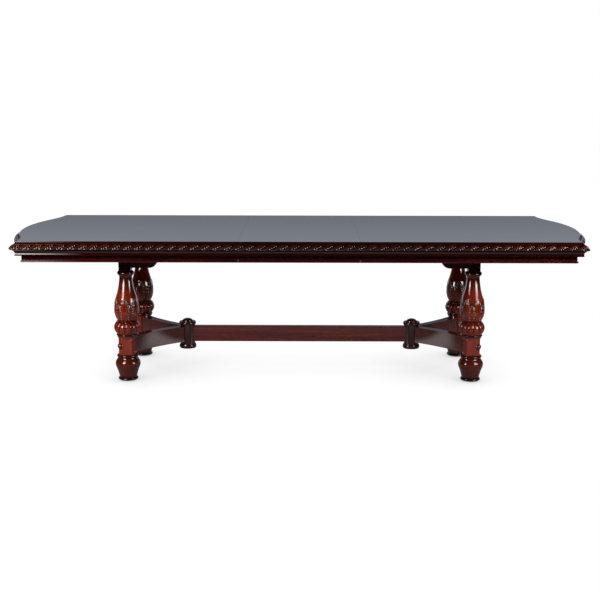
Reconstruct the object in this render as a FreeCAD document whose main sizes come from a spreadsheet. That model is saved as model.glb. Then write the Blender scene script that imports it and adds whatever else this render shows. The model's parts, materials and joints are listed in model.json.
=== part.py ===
import FreeCAD, Part
import Sketcher
import math
import os
from types import SimpleNamespace

# Double-pedestal dining table with one leaf in place.
# Millimetres. Z is up, the floor is Z = 0, X runs along the table and -Y is the front.
# The origin is on the floor, under the middle of the table.

DRIVING_SIZES = {
    # Top, seen from above: straight long sides and serpentine ends
    "table_height": 787,
    "top_half_width": 579,
    "corner_half_length": 1407,
    "end_bow": 93,
    "bow_share": 0.62,
    "leaf_length": 610,
    "seam_gap": 0.6,
    "panel_thickness": 20,
    "panel_edge_round": 2,
    # Edge moulding: reaches are outward from the edge of the flat top, drops are down from it
    "lip_drop": 4,
    "ledge_reach": 2,
    "rope_seat_reach": 12,
    "rope_shelf_reach": 17,
    "fillet_height": 3,
    "cove_radius": 17,
    "moulding_foot_reach": 8,
    "moulding_drop": 72,
    # Carved rope strip: crest and valley at its top, at its widest and at its bottom
    "rope_top_drop": 14,
    "rope_top_crest": 16.5,
    "rope_top_valley": 14,
    "rope_top_shift": 37,
    "rope_wide_drop": 32,
    "rope_wide_crest": 30.5,
    "rope_wide_valley": 26,
    "rope_bottom_drop": 42,
    "rope_bottom_crest": 22,
    "rope_bottom_valley": 19,
    "rope_bottom_shift": 20,
    "rope_seat_gap": 0.05,
    "leaf_lobes": 11,
    # Apron
    "apron_inset": 19,
    "apron_thickness": 22,
    "apron_drop": 108,
    "bead_height": 10,
    "bead_step": 1.5,
    "bead_radius": 5.3,
    "corner_block_side": 62,
    "corner_block_height": 55,
    # Legs: places of the four axes, then the turned profile from the floor up
    "leg_x": 916,
    "leg_y": 279,
    "glide_height": 3,
    "glide_radius": 24,
    "foot_base_radius": 46,
    "foot_ring_top": 19,
    "foot_ring_proud": 7,
    "foot_neck_radius": 46.5,
    "foot_neck_height": 4,
    "foot_taper_top": 68,
    "foot_taper_radius": 60,
    "foot_bulge_top": 121,
    "foot_bulge_radius": 53,
    "foot_bulge_proud": 9.5,
    "lower_ring_bottom": 128,
    "ring_base_radius": 52.5,
    "ring_proud": 5,
    "block_bottom": 142,
    "block_top": 236,
    "block_half": 43,
    "block_chamfer": 14,
    "block_core_radius": 40,
    "upper_ring_bottom": 243,
    "upper_ring_top": 255,
    "melon_bottom": 258,
    "melon_top": 321,
    "melon_base_radius": 55.5,
    "melon_proud": 13.2,
    "melon_lobes": 12,
    "melon_groove_radius": 6.5,
    "melon_groove_depth": 5,
    "waist_radius": 48,
    "waist_height": 9,
    # Vase of a leg: its heights are shares of the vase, and drops above it are from the table's height
    "vase_widest_share": 0.267,
    "vase_radius": 62.5,
    "vase_shoulder_share": 0.517,
    "vase_shoulder_radius": 55.5,
    "neck_drop": 225,
    "neck_radius": 33.5,
    "neck_curve_radius": 398,
    "neck_ring_drop": 217,
    "neck_ring_height": 21,
    "neck_ring_radius": 38.5,
    "neck_ring_proud": 6,
    "top_block_drop": 193,
    "top_block_half": 32,
    "leg_top_drop": 75,
    # Carved fronds round the vase
    "frond_count": 6,
    "frond_widest_share": 0.181,
    "frond_tip_share": 0.422,
    "frond_foot_half_width": 16,
    "frond_half_width": 27,
    "frond_foot_bend": 90,
    "frond_tip_bend": 75,
    "frond_proud": 2.2,
    "frond_start_angle": 15,
    # Arms, hubs and stretcher
    "hub_x": 624,
    "hub_bottom": 112,
    "hub_flange_radius": 47,
    "hub_flange_height": 22,
    "hub_shaft_radius": 40,
    "hub_top": 261,
    "hub_top_flange_height": 17,
    "hub_step_radius": 31,
    "hub_step_height": 4,
    "hub_dome_radius": 28,
    "hub_dome_height": 14,
    "hub_edge_round": 3,
    "stretcher_bottom": 150,
    "stretcher_height": 86,
    "stretcher_thickness": 44,
    "stretcher_edge_round": 4,
    "arm_hub_half": 20,
    "arm_leg_half": 29,
    "arm_bow": 18,
    "dowel_radius": 11,
    "dowel_length": 40,
    # Bolts from the legs into the arms
    "bolt_height": 191,
    "bolt_radius": 5,
    "bolt_reach": 48,
    "bolt_head_radius": 9,
    "bolt_head_height": 6,
    "nut_radius": 8,
    "nut_height": 30,
    "nut_inset": 34,
    "cap_radius": 17.3,
    "cap_seat_reach": 44,
    "cap_ring_gap": 1,
    "hole_clearance": 0.1,
    # Long rails, cross rails and extension slides
    "rail_thickness": 44,
    "rail_end_drop": 178,
    "bracket_length": 95,
    "bracket_radius": 45,
    "slide_gap": 0.4,
    "tenon_length": 22,
    "rail_tenon_thickness": 16,
    "rail_tenon_drop": 162,
    "rail_tenon_height": 75,
    "cross_rail_thickness": 36,
    "cross_rail_height": 72,
    "cross_tenon_thickness": 14,
    "cross_tenon_height": 48,
    "groove_height": 14,
    "groove_depth": 10,
    "groove_drop": 16,
    "runner_thickness": 30,
    "runner_height": 45,
    "runner_seam_inset": 15,
    "runner_length": 930,
    "screw_radius": 2.5,
    "screw_head_radius": 5,
    "screw_head_height": 3,
    "screw_bite": 11,
    "screw_end_inset": 120,
    # Equalizer gear under the leaf
    "gear_module": 3,
    "gear_root_factor": 1.25,
    "gear_pressure_angle": 20,
    "pinion_teeth": 18,
    "gear_backlash": 0.5,
    "gear_height": 12,
    "gear_drop": 33,
    "axle_radius": 6,
    "axle_running_gap": 0.05,
    "axle_flange_radius": 14,
    "axle_head_radius": 11,
    "axle_head_height": 4,
    "axle_end_gap": 0.1,
    "bridge_length": 140,
    "bridge_thickness": 20,
    "bridge_drop": 53,
    "rack_back": 15,
    "rack_overrun": 100,
    "rack_hanger_length": 70,
    "cleat_thickness": 20,
    "cleat_width": 40,
    "cleat_spacing": 340,
    # How far a cutting shape overlaps what it cuts, and how far a run passes its mitre
    "cut_overlap": 1,
    "mitre_reach": 50,
}

QUADRANTS = {"front_left": (-1, -1), "front_right": (1, -1), "back_left": (-1, 1), "back_right": (1, 1)}
SIDES = {"left": -1, "right": 1}

document = FreeCAD.newDocument("dining_table")
pieces = {}


class Size:
    """A number kept together with the sheet expression that gives it."""

    def __init__(self, value, text):
        self.value = value
        self.text = text

    def __add__(self, other):
        other = as_size(other)
        return Size(self.value + other.value, "(%s + %s)" % (self.text, other.text))

    def __sub__(self, other):
        other = as_size(other)
        return Size(self.value - other.value, "(%s - %s)" % (self.text, other.text))

    def __mul__(self, other):
        other = as_size(other)
        return Size(self.value * other.value, "(%s * %s)" % (self.text, other.text))

    def __truediv__(self, other):
        other = as_size(other)
        return Size(self.value / other.value, "(%s / %s)" % (self.text, other.text))

    def __neg__(self):
        return Size(-self.value, "(0 - %s)" % self.text)

    def __radd__(self, other):
        return as_size(other) + self

    def __rsub__(self, other):
        return as_size(other) - self

    def __rmul__(self, other):
        return as_size(other) * self

    def root(self):
        return Size(math.sqrt(self.value), "sqrt(%s)" % self.text)


def as_size(number):
    """Wraps a plain number, so that numbers and sizes can be mixed."""
    if isinstance(number, Size):
        return number
    return Size(float(number), "(0 - %r)" % -float(number) if number < 0 else repr(float(number)))


def fill_sheet():
    """Writes the driving sizes to the sheet and returns them as named sizes."""
    sheet = document.addObject("Spreadsheet::Sheet", "sizes")
    for row, (alias, number) in enumerate(DRIVING_SIZES.items(), start=1):
        sheet.set("A%d" % row, alias)
        sheet.set("B%d" % row, str(number))
        sheet.setAlias("B%d" % row, alias)
    document.recompute()
    sizes = {alias: Size(float(sheet.get(alias)), "sizes." + alias) for alias in DRIVING_SIZES}
    return SimpleNamespace(**sizes)


size = fill_sheet()

# Heights that follow the table's height: the vase of each leg takes up the change
leg_top = size.table_height - size.leg_top_drop
top_block_bottom = size.table_height - size.top_block_drop
rail_end_bottom = size.table_height - size.rail_end_drop
rail_tenon_bottom = size.table_height - size.rail_tenon_drop
neck_ring_bottom = size.table_height - size.neck_ring_drop
neck_ring_top = neck_ring_bottom + size.neck_ring_height
neck_height = size.table_height - size.neck_drop
vase_start = size.melon_top + size.waist_height
vase_length = neck_height - vase_start
vase_widest_height = vase_start + vase_length * size.vase_widest_share
vase_shoulder_height = vase_start + vase_length * size.vase_shoulder_share
frond_widest_height = vase_start + vase_length * size.frond_widest_share
frond_tip_height = vase_start + vase_length * size.frond_tip_share


# Helpers for sketches and features

def new_body(label):
    """Starts a body and files it under its label."""
    body = document.addObject("PartDesign::Body", label + "_body")
    body.Label = label
    pieces[label] = body
    return body


def origin_feature(body, role):
    """Finds a plane or an axis of the body's own origin."""
    return next(feature for feature in body.Origin.OriginFeatures if feature.Role == role)


def attach(body, name, plane, lift):
    """Adds an empty sketch on one of the body's planes, lifted along its normal."""
    sketch = body.newObject("Sketcher::SketchObject", name)
    sketch.AttachmentSupport = [(origin_feature(body, plane), "")]
    sketch.MapMode = "FlatFace"
    sketch.setExpression("AttachmentOffset.Base.z", as_size(lift).text)
    return sketch


def edge_curve(start, end, bend):
    """A line, or an arc that turns left for a positive bend radius and right for a negative one."""
    if bend is None:
        return Part.LineSegment(start, end), 1, 2
    radius = abs(bend.value)
    middle = (start + end) * 0.5
    along = end - start
    half_chord = along.Length / 2
    along.normalize()
    left = FreeCAD.Vector(-along.y, along.x, 0)
    reach = math.sqrt(max(radius * radius - half_chord * half_chord, 0.0))
    turn = 1 if bend.value > 0 else -1
    centre = middle + left * (reach * turn)
    first, last = (start, end) if turn > 0 else (end, start)
    first_angle = math.atan2(first.y - centre.y, first.x - centre.x)
    last_angle = math.atan2(last.y - centre.y, last.x - centre.x)
    if last_angle < first_angle:
        last_angle += 2 * math.pi
    circle = Part.Circle(centre, FreeCAD.Vector(0, 0, 1), radius)
    ends = (1, 2) if turn > 0 else (2, 1)
    return (Part.ArcOfCircle(circle, first_angle, last_angle),) + ends


def outline(body, name, plane, corners, lift=0, closed=True):
    """Draws a bound outline. A corner is (x, y) or (x, y, bend), where bend curves the edge after it."""
    sketch = attach(body, name, plane, lift)
    corners = [(as_size(c[0]), as_size(c[1]), c[2] if len(c) > 2 else None) for c in corners]
    points = [FreeCAD.Vector(x.value, y.value, 0) for x, y, bend in corners]
    spans = len(corners) if closed else len(corners) - 1
    rules = []
    bound = []
    ends = []
    for index in range(spans):
        bend = corners[index][2]
        curve, start_end, far_end = edge_curve(points[index], points[(index + 1) % len(points)], bend)
        edge = sketch.addGeometry(curve, False)
        ends.append((edge, start_end, far_end))
        if bend is not None:
            bound.append((len(rules), bend if bend.value > 0 else -bend))
            rules.append(Sketcher.Constraint("Radius", edge, abs(bend.value)))
    for index in range(spans if closed else spans - 1):
        edge, start_end, far_end = ends[index]
        next_edge, next_start, next_far = ends[(index + 1) % spans]
        rules.append(Sketcher.Constraint("Coincident", edge, far_end, next_edge, next_start))
    for index, (x, y, bend) in enumerate(corners):
        edge, position = ends[index][:2] if index < spans else (ends[-1][0], ends[-1][2])
        for kind, distance in (("DistanceX", x), ("DistanceY", y)):
            bound.append((len(rules), distance))
            rules.append(Sketcher.Constraint(kind, -1, 1, edge, position, distance.value))
    sketch.addConstraint(rules)
    for index, distance in bound:
        sketch.setExpression("Constraints[%d]" % index, distance.text)
    return sketch


def rectangle(body, name, plane, x_range, y_range, lift=0):
    """Draws a rectangle between two values each way."""
    left, right = x_range
    low, high = y_range
    return outline(body, name, plane, [(left, low), (right, low), (right, high), (left, high)], lift)


def circle(body, name, plane, centre, radius, lift=0):
    """Draws a circle whose centre and radius are bound to the sheet."""
    sketch = attach(body, name, plane, lift)
    middle = [as_size(value) for value in centre]
    place = FreeCAD.Vector(middle[0].value, middle[1].value, 0)
    ring = sketch.addGeometry(Part.Circle(place, FreeCAD.Vector(0, 0, 1), radius.value), False)
    sketch.addConstraint([
        Sketcher.Constraint("Radius", ring, radius.value),
        Sketcher.Constraint("DistanceX", -1, 1, ring, 3, middle[0].value),
        Sketcher.Constraint("DistanceY", -1, 1, ring, 3, middle[1].value),
    ])
    for index, distance in enumerate([radius] + middle):
        sketch.setExpression("Constraints[%d]" % index, distance.text)
    return sketch


def pad(body, sketch, length, reverse=False):
    """Grows a sketch along its normal, or against it."""
    feature = body.newObject("PartDesign::Pad", sketch.Name + "_pad")
    feature.Profile = sketch
    feature.setExpression("Length", as_size(length).text)
    feature.Reversed = reverse
    return feature


def pocket(body, sketch, depth=None, reverse=False):
    """Cuts a sketch against its normal, or along it, or right through both ways where no depth is given."""
    feature = body.newObject("PartDesign::Pocket", sketch.Name + "_pocket")
    feature.Profile = sketch
    if depth is None:
        feature.SideType = "Symmetric"
        feature.Type = "ThroughAll"
    else:
        feature.setExpression("Length", as_size(depth).text)
        feature.Reversed = reverse
    return feature


def revolve(body, sketch):
    """Turns a profile, drawn beside the Z axis, all the way round."""
    feature = body.newObject("PartDesign::Revolution", sketch.Name + "_turned")
    feature.Profile = sketch
    feature.ReferenceAxis = (sketch, ["V_Axis"])
    feature.Angle = 360
    return feature


def repeat_round(body, feature, count):
    """Repeats a feature round the Z axis."""
    pattern = body.newObject("PartDesign::PolarPattern", feature.Name + "_round")
    pattern.Originals = [feature]
    pattern.Axis = (origin_feature(body, "Z_Axis"), [""])
    pattern.Angle = 360
    pattern.setExpression("Occurrences", count.text)
    body.Tip = pattern
    return pattern


def repeat_along(body, feature, axis, pitch, count):
    """Repeats a feature along one of the body's axes."""
    pattern = body.newObject("PartDesign::LinearPattern", feature.Name + "_along")
    pattern.Originals = [feature]
    pattern.Direction = (origin_feature(body, axis), [""])
    pattern.setExpression("Length", (pitch * (count - 1)).text)
    pattern.Occurrences = count
    body.Tip = pattern
    return pattern


def round_edges(body, feature, radius, wanted):
    """Rounds the edges of a feature that the test picks."""
    document.recompute()
    names = ["Edge%d" % (index + 1) for index, edge in enumerate(feature.Shape.Edges) if wanted(edge)]
    fillet = body.newObject("PartDesign::Fillet", feature.Name + "_round")
    fillet.Base = (feature, names)
    fillet.setExpression("Radius", radius.text)
    return fillet


def arc_over(chord, proud):
    """Radius of the arc that stands proud by the given height over a chord."""
    return chord * chord / (proud * 8) + proud / 2


def place(thing, x=0, y=0, z=0, rotation=None):
    """Puts an object at a bound place, turned if a rotation is given."""
    if rotation is not None:
        thing.Placement = FreeCAD.Placement(FreeCAD.Vector(), rotation)
    for axis, distance in (("x", x), ("y", y), ("z", z)):
        thing.setExpression("Placement.Base." + axis, as_size(distance).text)
    return thing


def rod(name, radius, length, start, direction):
    """A round bar or drill from a start point along a direction."""
    bar = document.addObject("Part::Cylinder", name)
    bar.setExpression("Radius", as_size(radius).text)
    bar.setExpression("Height", as_size(length).text)
    turn = FreeCAD.Rotation(FreeCAD.Vector(0, 0, 1), FreeCAD.Vector(*direction))
    return place(bar, *start, rotation=turn)


def fused(name, base, tool):
    """Joins two shapes into one solid."""
    join = document.addObject("Part::Fuse", name)
    join.Base = base
    join.Tool = tool
    return join


def group(label, members):
    """Files several separate solids under one label."""
    bundle = document.addObject("Part::Compound", label + "_group")
    bundle.Links = members
    bundle.Label = label
    pieces[label] = bundle
    return bundle


def drilled(label, drills):
    """Cuts drills out of the piece filed under a label and files the result in its place."""
    body = pieces[label]
    body.Label = label + "_blank"
    tools = document.addObject("Part::Compound", label + "_drills")
    tools.Links = drills
    cut = document.addObject("Part::Cut", label + "_drilled")
    cut.Base = body
    cut.Tool = tools
    cut.Label = label
    pieces[label] = cut
    return cut


# Shared places

panel_underside = size.table_height - size.panel_thickness
seam_x = size.leaf_length / 2 + size.seam_gap / 2
leaf_half_length = size.leaf_length / 2 - size.seam_gap / 2
half_turn = FreeCAD.Rotation(FreeCAD.Vector(0, 0, 1), 180)

# The serpentine end is one outward arc between two inward arcs that leave the corners square.
serpentine_radius = size.top_half_width * size.top_half_width / (size.end_bow * 2) + size.end_bow / 2
bow_radius = serpentine_radius * size.bow_share
sweep_radius = serpentine_radius - bow_radius
sweep_sine = size.top_half_width / serpentine_radius
sweep_cosine = 1 - size.end_bow / serpentine_radius

# The flat of each leg block's outer corner, measured from the leg's axis along the diagonal
root_two = as_size(2).root()
diagonal_reach = (size.block_half * 2 - size.block_chamfer) / root_two


def serpentine_corners():
    """The end of the flat top from its front corner to its back corner."""
    turn_x = size.corner_half_length + sweep_radius * (1 - sweep_cosine)
    turn_y = size.top_half_width - sweep_radius * sweep_sine
    return [
        (size.corner_half_length, -size.top_half_width, -sweep_radius),
        (turn_x, -turn_y, bow_radius),
        (turn_x, turn_y, -sweep_radius),
        (size.corner_half_length, size.top_half_width),
    ]


def turned_for(side, label):
    """Turns a piece of the right half round to make the same piece of the left half."""
    if side == "left":
        place(pieces[label], rotation=half_turn)


def opposite(face, side):
    """The long side that a piece of the right half lies on once it is turned for its own half."""
    if side == "right":
        return face
    return {"front": "back", "back": "front"}[face]


# Top panels

def top_edge(edge):
    """Picks level edges in the top face."""
    low = edge.BoundBox.ZMin
    return low > size.table_height.value - size.panel_edge_round.value


def top_half(side):
    """Half of the top, with its serpentine end and pilot holes for the runners' screws."""
    label = "top_" + side
    body = new_body(label)
    corners = [(seam_x, -size.top_half_width)] + serpentine_corners() + [(seam_x, size.top_half_width)]
    sketch = outline(body, label + "_outline", "XY_Plane", corners, panel_underside)
    slab = pad(body, sketch, size.panel_thickness)

    def outer_edge(edge):
        return top_edge(edge) and edge.CenterOfMass.x > seam_x.value + size.cut_overlap.value

    round_edges(body, slab, size.panel_edge_round, outer_edge)
    depth = size.screw_bite + size.hole_clearance + size.cut_overlap
    drilled(label, [rod("%s_pilot_%d" % (label, index), size.screw_radius + size.hole_clearance, depth,
                        (x, y, panel_underside - size.cut_overlap), (0, 0, 1))
                    for index, (x, y) in enumerate(screw_places())])
    turned_for(side, label)


def leaf_panel():
    """The leaf, as wide as the halves, with two cleats under it."""
    body = new_body("leaf_panel")
    sketch = rectangle(body, "leaf_outline", "XY_Plane", (-leaf_half_length, leaf_half_length),
                       (-size.top_half_width, size.top_half_width), panel_underside)
    slab = pad(body, sketch, size.panel_thickness)

    def long_edge(edge):
        return top_edge(edge) and abs(edge.CenterOfMass.y) > size.top_half_width.value / 2

    round_edges(body, slab, size.panel_edge_round, long_edge)
    cleats = []
    reach = rail_inner - size.slide_gap
    for name, middle in (("cleat_left", -size.cleat_spacing / 2), ("cleat_right", size.cleat_spacing / 2)):
        cleat = document.addObject("Part::Box", name)
        cleat.setExpression("Length", size.cleat_width.text)
        cleat.setExpression("Width", (reach * 2).text)
        cleat.setExpression("Height", size.cleat_thickness.text)
        place(cleat, middle - size.cleat_width / 2, -reach, panel_underside - size.cleat_thickness)
        cleats.append(cleat)
    group("leaf_cleats", cleats)


# Edge mouldings and aprons share one way of running along the sides and round the ends

def moulding_section():
    """Edge moulding as (reach, drop, bend), from the panel's edge out, down and back under the panel."""
    return [
        (as_size(0), size.lip_drop),
        (size.ledge_reach, size.lip_drop),
        (size.rope_seat_reach, size.rope_top_drop),
        (size.rope_seat_reach, size.rope_bottom_drop),
        (size.rope_shelf_reach, size.rope_bottom_drop),
        (size.rope_shelf_reach, size.rope_bottom_drop + size.fillet_height, -size.cove_radius),
        (size.moulding_foot_reach, size.moulding_drop - size.fillet_height * 2),
        (size.moulding_foot_reach, size.moulding_drop),
        (-size.apron_inset, size.moulding_drop),
        (-size.apron_inset, size.panel_thickness),
        (as_size(0), size.panel_thickness),
    ]


def apron_section():
    """Apron board with a bead along its lower edge, as (reach, drop, bend)."""
    bead_top = size.apron_drop - size.bead_height
    inner = -(size.apron_inset + size.apron_thickness)
    return [
        (-size.apron_inset, size.panel_thickness),
        (-size.apron_inset, bead_top),
        (size.bead_step - size.apron_inset, bead_top, size.bead_radius),
        (size.bead_step - size.apron_inset, size.apron_drop),
        (inner, size.apron_drop),
        (inner, size.panel_thickness),
    ]


def section_corners(section, edge, face):
    """Places a section at the front (mirrored) or at the back or end (as drawn)."""
    corners = []
    for reach, drop, *bend in section:
        across = -(edge + reach) if face == "front" else edge + reach
        bends = [b if face == "front" else -b for b in bend]
        corners.append((across, size.table_height - drop, *bends))
    return corners


def mitre_cut(body, name, face, keep_side_run):
    """Cuts the waste beyond the mitre at the front or back corner of the right end."""
    sign = -1 if face == "front" else 1
    corner_x = size.corner_half_length
    corner_y = size.top_half_width * sign
    reach = size.mitre_reach
    waste_x = corner_x + reach if keep_side_run else corner_x - reach
    waste_y = corner_y - reach * sign if keep_side_run else corner_y + reach * sign
    corners = [(corner_x - reach, corner_y - reach * sign), (corner_x + reach, corner_y + reach * sign),
               (waste_x, waste_y)]
    pocket(body, outline(body, name, "XY_Plane", corners))


def side_run(label, section, face, side):
    """A moulding or apron along a long side of one half, from the seam to the mitre."""
    body = new_body(label)
    corners = section_corners(section, size.top_half_width, face)
    sketch = outline(body, label + "_section", "YZ_Plane", corners, seam_x)
    pad(body, sketch, size.corner_half_length + size.mitre_reach - size.cut_overlap - seam_x)
    mitre_cut(body, label + "_mitre", face, True)
    turned_for(side, label)


def end_run(label, section, side):
    """A moulding or apron round the serpentine end, mitred at both corners."""
    body = new_body(label)
    beyond = size.top_half_width + size.mitre_reach - size.cut_overlap
    path = [(size.corner_half_length, -beyond)] + serpentine_corners() + [(size.corner_half_length, beyond)]
    spine = outline(body, label + "_path", "XY_Plane", path, closed=False)
    corners = section_corners(section, size.corner_half_length, "end")
    profile = outline(body, label + "_section", "XZ_Plane", corners, beyond)
    pipe = body.newObject("PartDesign::AdditivePipe", label + "_sweep")
    pipe.Profile = profile
    pipe.Spine = spine
    mitre_cut(body, label + "_front_mitre", "front", False)
    mitre_cut(body, label + "_back_mitre", "back", False)
    turned_for(side, label)


def leaf_run(label, section, face):
    """A moulding or apron along a long side of the leaf."""
    body = new_body(label)
    corners = section_corners(section, size.top_half_width, face)
    sketch = outline(body, label + "_section", "YZ_Plane", corners, -leaf_half_length)
    pad(body, sketch, leaf_half_length * 2)


def corner_blocks(side):
    """Triangular blocks glued into the two corners of one half's apron."""
    blocks = []
    for face, sign in (("front", -1), ("back", 1)):
        name = "corner_block_%s_%s" % (opposite(face, side), side)
        block = document.addObject("PartDesign::Body", name)
        inner_x = size.corner_half_length - size.apron_inset - size.apron_thickness
        inner_y = (size.top_half_width - size.apron_inset - size.apron_thickness) * sign
        corners = [(inner_x, inner_y), (inner_x - size.corner_block_side, inner_y),
                   (inner_x, inner_y - size.corner_block_side * sign)]
        low = panel_underside - size.corner_block_height
        sketch = outline(block, name + "_outline", "XY_Plane", corners, low)
        pad(block, sketch, size.corner_block_height)
        blocks.append(block)
    group("corner_blocks_" + side, blocks)
    turned_for(side, "corner_blocks_" + side)


# Carved rope: scalloped outlines at the top and bottom of the strip, the upper one moved on by the slant

def side_point(along, reach, face):
    """A point beside the front edge, or beside the back edge where the run goes the other way."""
    sign = -1 if face == "front" else 1
    return (-along * sign, (size.top_half_width.value + reach) * sign)


def end_point(along, reach):
    """A point beside the right end, by its distance along the edge from the middle."""
    sweep_angle = math.asin(sweep_sine.value)
    bow_length = bow_radius.value * sweep_angle
    half_length = bow_length + sweep_radius.value * sweep_angle
    sign = 1 if along > 0 else -1
    if abs(along) <= bow_length:
        angle = along / bow_radius.value
        centre_x = size.corner_half_length.value + size.end_bow.value - bow_radius.value
        radius = bow_radius.value + reach
        return (centre_x + radius * math.cos(angle), radius * math.sin(angle))
    if abs(along) <= half_length:
        angle = (half_length - abs(along)) / sweep_radius.value
        radius = sweep_radius.value - reach
        centre_x = size.corner_half_length.value + sweep_radius.value
        across = size.top_half_width.value - radius * math.sin(angle)
        return (centre_x - radius * math.cos(angle), sign * across)
    across = size.top_half_width.value + abs(along) - half_length
    return (size.corner_half_length.value + reach, sign * across)


def rope_levels():
    """Levels of the rope from the bottom up, as (height, crest, valley, shift along the run)."""
    low = size.table_height.value - size.rope_bottom_drop.value + size.rope_seat_gap.value
    wide = size.table_height.value - size.rope_wide_drop.value
    high = size.table_height.value - size.rope_top_drop.value - size.rope_seat_gap.value
    return [
        (low, size.rope_bottom_crest.value, size.rope_bottom_valley.value, -size.rope_bottom_shift.value),
        (wide, size.rope_wide_crest.value, size.rope_wide_valley.value, 0),
        (high, size.rope_top_crest.value, size.rope_top_valley.value, size.rope_top_shift.value),
    ]


def rope_outline(point_at, breaks, stops, level):
    """One scalloped outline: lobes on the outside and the seat's own curve on the inside."""
    height, crest, valley, shift = level

    def vertex(along, reach):
        return FreeCAD.Vector(*point_at(along + shift, reach), height)

    seat = size.rope_seat_reach.value + size.rope_seat_gap.value
    edges = []
    for first, last in zip(stops, stops[1:]):
        lobe = Part.Arc(vertex(first, valley), vertex((first + last) / 2, crest), vertex(last, valley))
        edges.append(lobe.toShape())
    edges.append(Part.makeLine(vertex(stops[-1], valley), vertex(stops[-1], seat)))
    back_stops = [stops[-1]] + [stop - shift for stop in reversed(breaks)] + [stops[0]]
    for first, last in zip(back_stops, back_stops[1:]):
        middle = vertex((first + last) / 2, seat)
        chord_middle = (vertex(first, seat) + vertex(last, seat)) * 0.5
        if middle.distanceToPoint(chord_middle) < size.rope_seat_gap.value / 10:
            edges.append(Part.makeLine(vertex(first, seat), vertex(last, seat)))
        else:
            edges.append(Part.Arc(vertex(first, seat), middle, vertex(last, seat)).toShape())
    edges.append(Part.makeLine(vertex(stops[0], seat), vertex(stops[0], valley)))
    return Part.Wire(edges)


def rope_strip(label, point_at, breaks, start, pitch, count, plan):
    """Lofts the slanted lobes and trims them to the plan of the piece that carries them."""
    stops = [start + pitch * index for index in range(count + 1)]
    levels = rope_levels()
    lobes = Part.makeLoft([rope_outline(point_at, breaks, stops, level) for level in levels], True, True)
    margin = size.cut_overlap.value
    low = levels[0][0] - margin
    high = levels[-1][0] + margin
    corners = [FreeCAD.Vector(x, y, low) for x, y in plan]
    bounds = Part.Face(Part.makePolygon(corners + corners[:1])).extrude(FreeCAD.Vector(0, 0, high - low))
    strip = document.addObject("Part::Feature", label + "_strip")
    strip.Shape = lobes.common(bounds)
    strip.Label = label
    pieces[label] = strip


def lobe_pitch():
    """Length of one lobe of the rope, a whole number of which fills the leaf."""
    return size.leaf_length.value / size.leaf_lobes.value


def spare_lobes(reach=0):
    """Lobes added at each end of a run, so that the slanted strip still fills it."""
    return math.ceil((reach + size.rope_top_shift.value + size.rope_bottom_shift.value) / lobe_pitch())


def side_rope(label, face, side):
    """Rope along a long side of one half, in step with the leaf's rope."""
    sign = -1 if face == "front" else 1
    edge = size.top_half_width.value * sign
    reach = size.mitre_reach.value
    corner = size.corner_half_length.value
    out = edge + reach * sign
    plan = [(seam_x.value, edge), (corner, edge), (corner + reach, out), (seam_x.value, out)]
    leaf_end = size.leaf_length.value / 2
    covering = math.ceil((corner + reach - leaf_end) / lobe_pitch())
    first = leaf_end if face == "front" else -leaf_end - covering * lobe_pitch()
    start = first - spare_lobes() * lobe_pitch()
    rope_strip(label, lambda along, out_to: side_point(along, out_to, face), [], start, lobe_pitch(),
               covering + 2 * spare_lobes(), plan)
    turned_for(side, label)


def end_rope(label, side):
    """Rope round the serpentine end of one half."""
    sweep_angle = math.asin(sweep_sine.value)
    bow_length = bow_radius.value * sweep_angle
    half_length = bow_length + sweep_radius.value * sweep_angle
    corner = size.corner_half_length.value
    width = size.top_half_width.value
    reach = size.mitre_reach.value
    far = corner + size.end_bow.value + 2 * reach
    plan = [(corner, -width), (corner + reach, -width - reach), (far, -width - reach),
            (far, width + reach), (corner + reach, width + reach), (corner, width)]
    across = round(2 * half_length / lobe_pitch())
    pitch = 2 * half_length / across
    spare = spare_lobes(reach)
    breaks = [-half_length, -bow_length, bow_length, half_length]
    rope_strip(label, end_point, breaks, -half_length - spare * pitch, pitch, across + 2 * spare, plan)
    turned_for(side, label)


def leaf_rope(label, face):
    """Rope along a long side of the leaf."""
    sign = -1 if face == "front" else 1
    edge = size.top_half_width.value * sign
    out = edge + size.mitre_reach.value * sign
    half = leaf_half_length.value
    plan = [(-half, edge), (half, edge), (half, out), (-half, out)]
    start = -size.leaf_length.value / 2 - spare_lobes() * lobe_pitch()
    count = int(size.leaf_lobes.value) + 2 * spare_lobes()
    rope_strip(label, lambda along, out_to: side_point(along, out_to, face), [], start, lobe_pitch(),
               count, plan)


# Extension slides

rail_inner = size.leg_y - size.rail_thickness / 2
rail_top = panel_underside - size.slide_gap
rail_end_x = size.leg_x - size.top_block_half
groove_top = rail_top - size.groove_drop


def long_rail(label, sign):
    """Rail between the leg tops, deeper beside each leg, grooved for the slides, with a tenon at each end."""
    body = new_body(label)
    bracket_x = rail_end_x - size.bracket_length
    middle_x = bracket_x - size.bracket_radius
    middle_z = rail_end_bottom + size.bracket_radius
    corners = [
        (-rail_end_x, rail_end_bottom),
        (-bracket_x, rail_end_bottom, size.bracket_radius),
        (-middle_x, middle_z),
        (middle_x, middle_z, size.bracket_radius),
        (bracket_x, rail_end_bottom),
        (rail_end_x, rail_end_bottom),
        (rail_end_x, rail_top),
        (-rail_end_x, rail_top),
    ]
    sketch = outline(body, label + "_outline", "XZ_Plane", corners, rail_inner * -sign)
    pad(body, sketch, size.rail_thickness, sign > 0)
    groove = rectangle(body, label + "_groove", "YZ_Plane",
                       ((rail_inner - size.cut_overlap) * sign, (rail_inner + size.groove_depth) * sign),
                       (groove_top - size.groove_height, groove_top))
    pocket(body, groove)
    middle_y = size.leg_y * sign
    half = size.rail_tenon_thickness / 2
    heights = (rail_tenon_bottom, rail_tenon_bottom + size.rail_tenon_height)
    for name, end in SIDES.items():
        tenon = rectangle(body, "%s_%s_tenon" % (label, name), "YZ_Plane", (middle_y - half, middle_y + half),
                          heights, rail_end_x * end)
        pad(body, tenon, size.tenon_length, end < 0)


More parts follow.
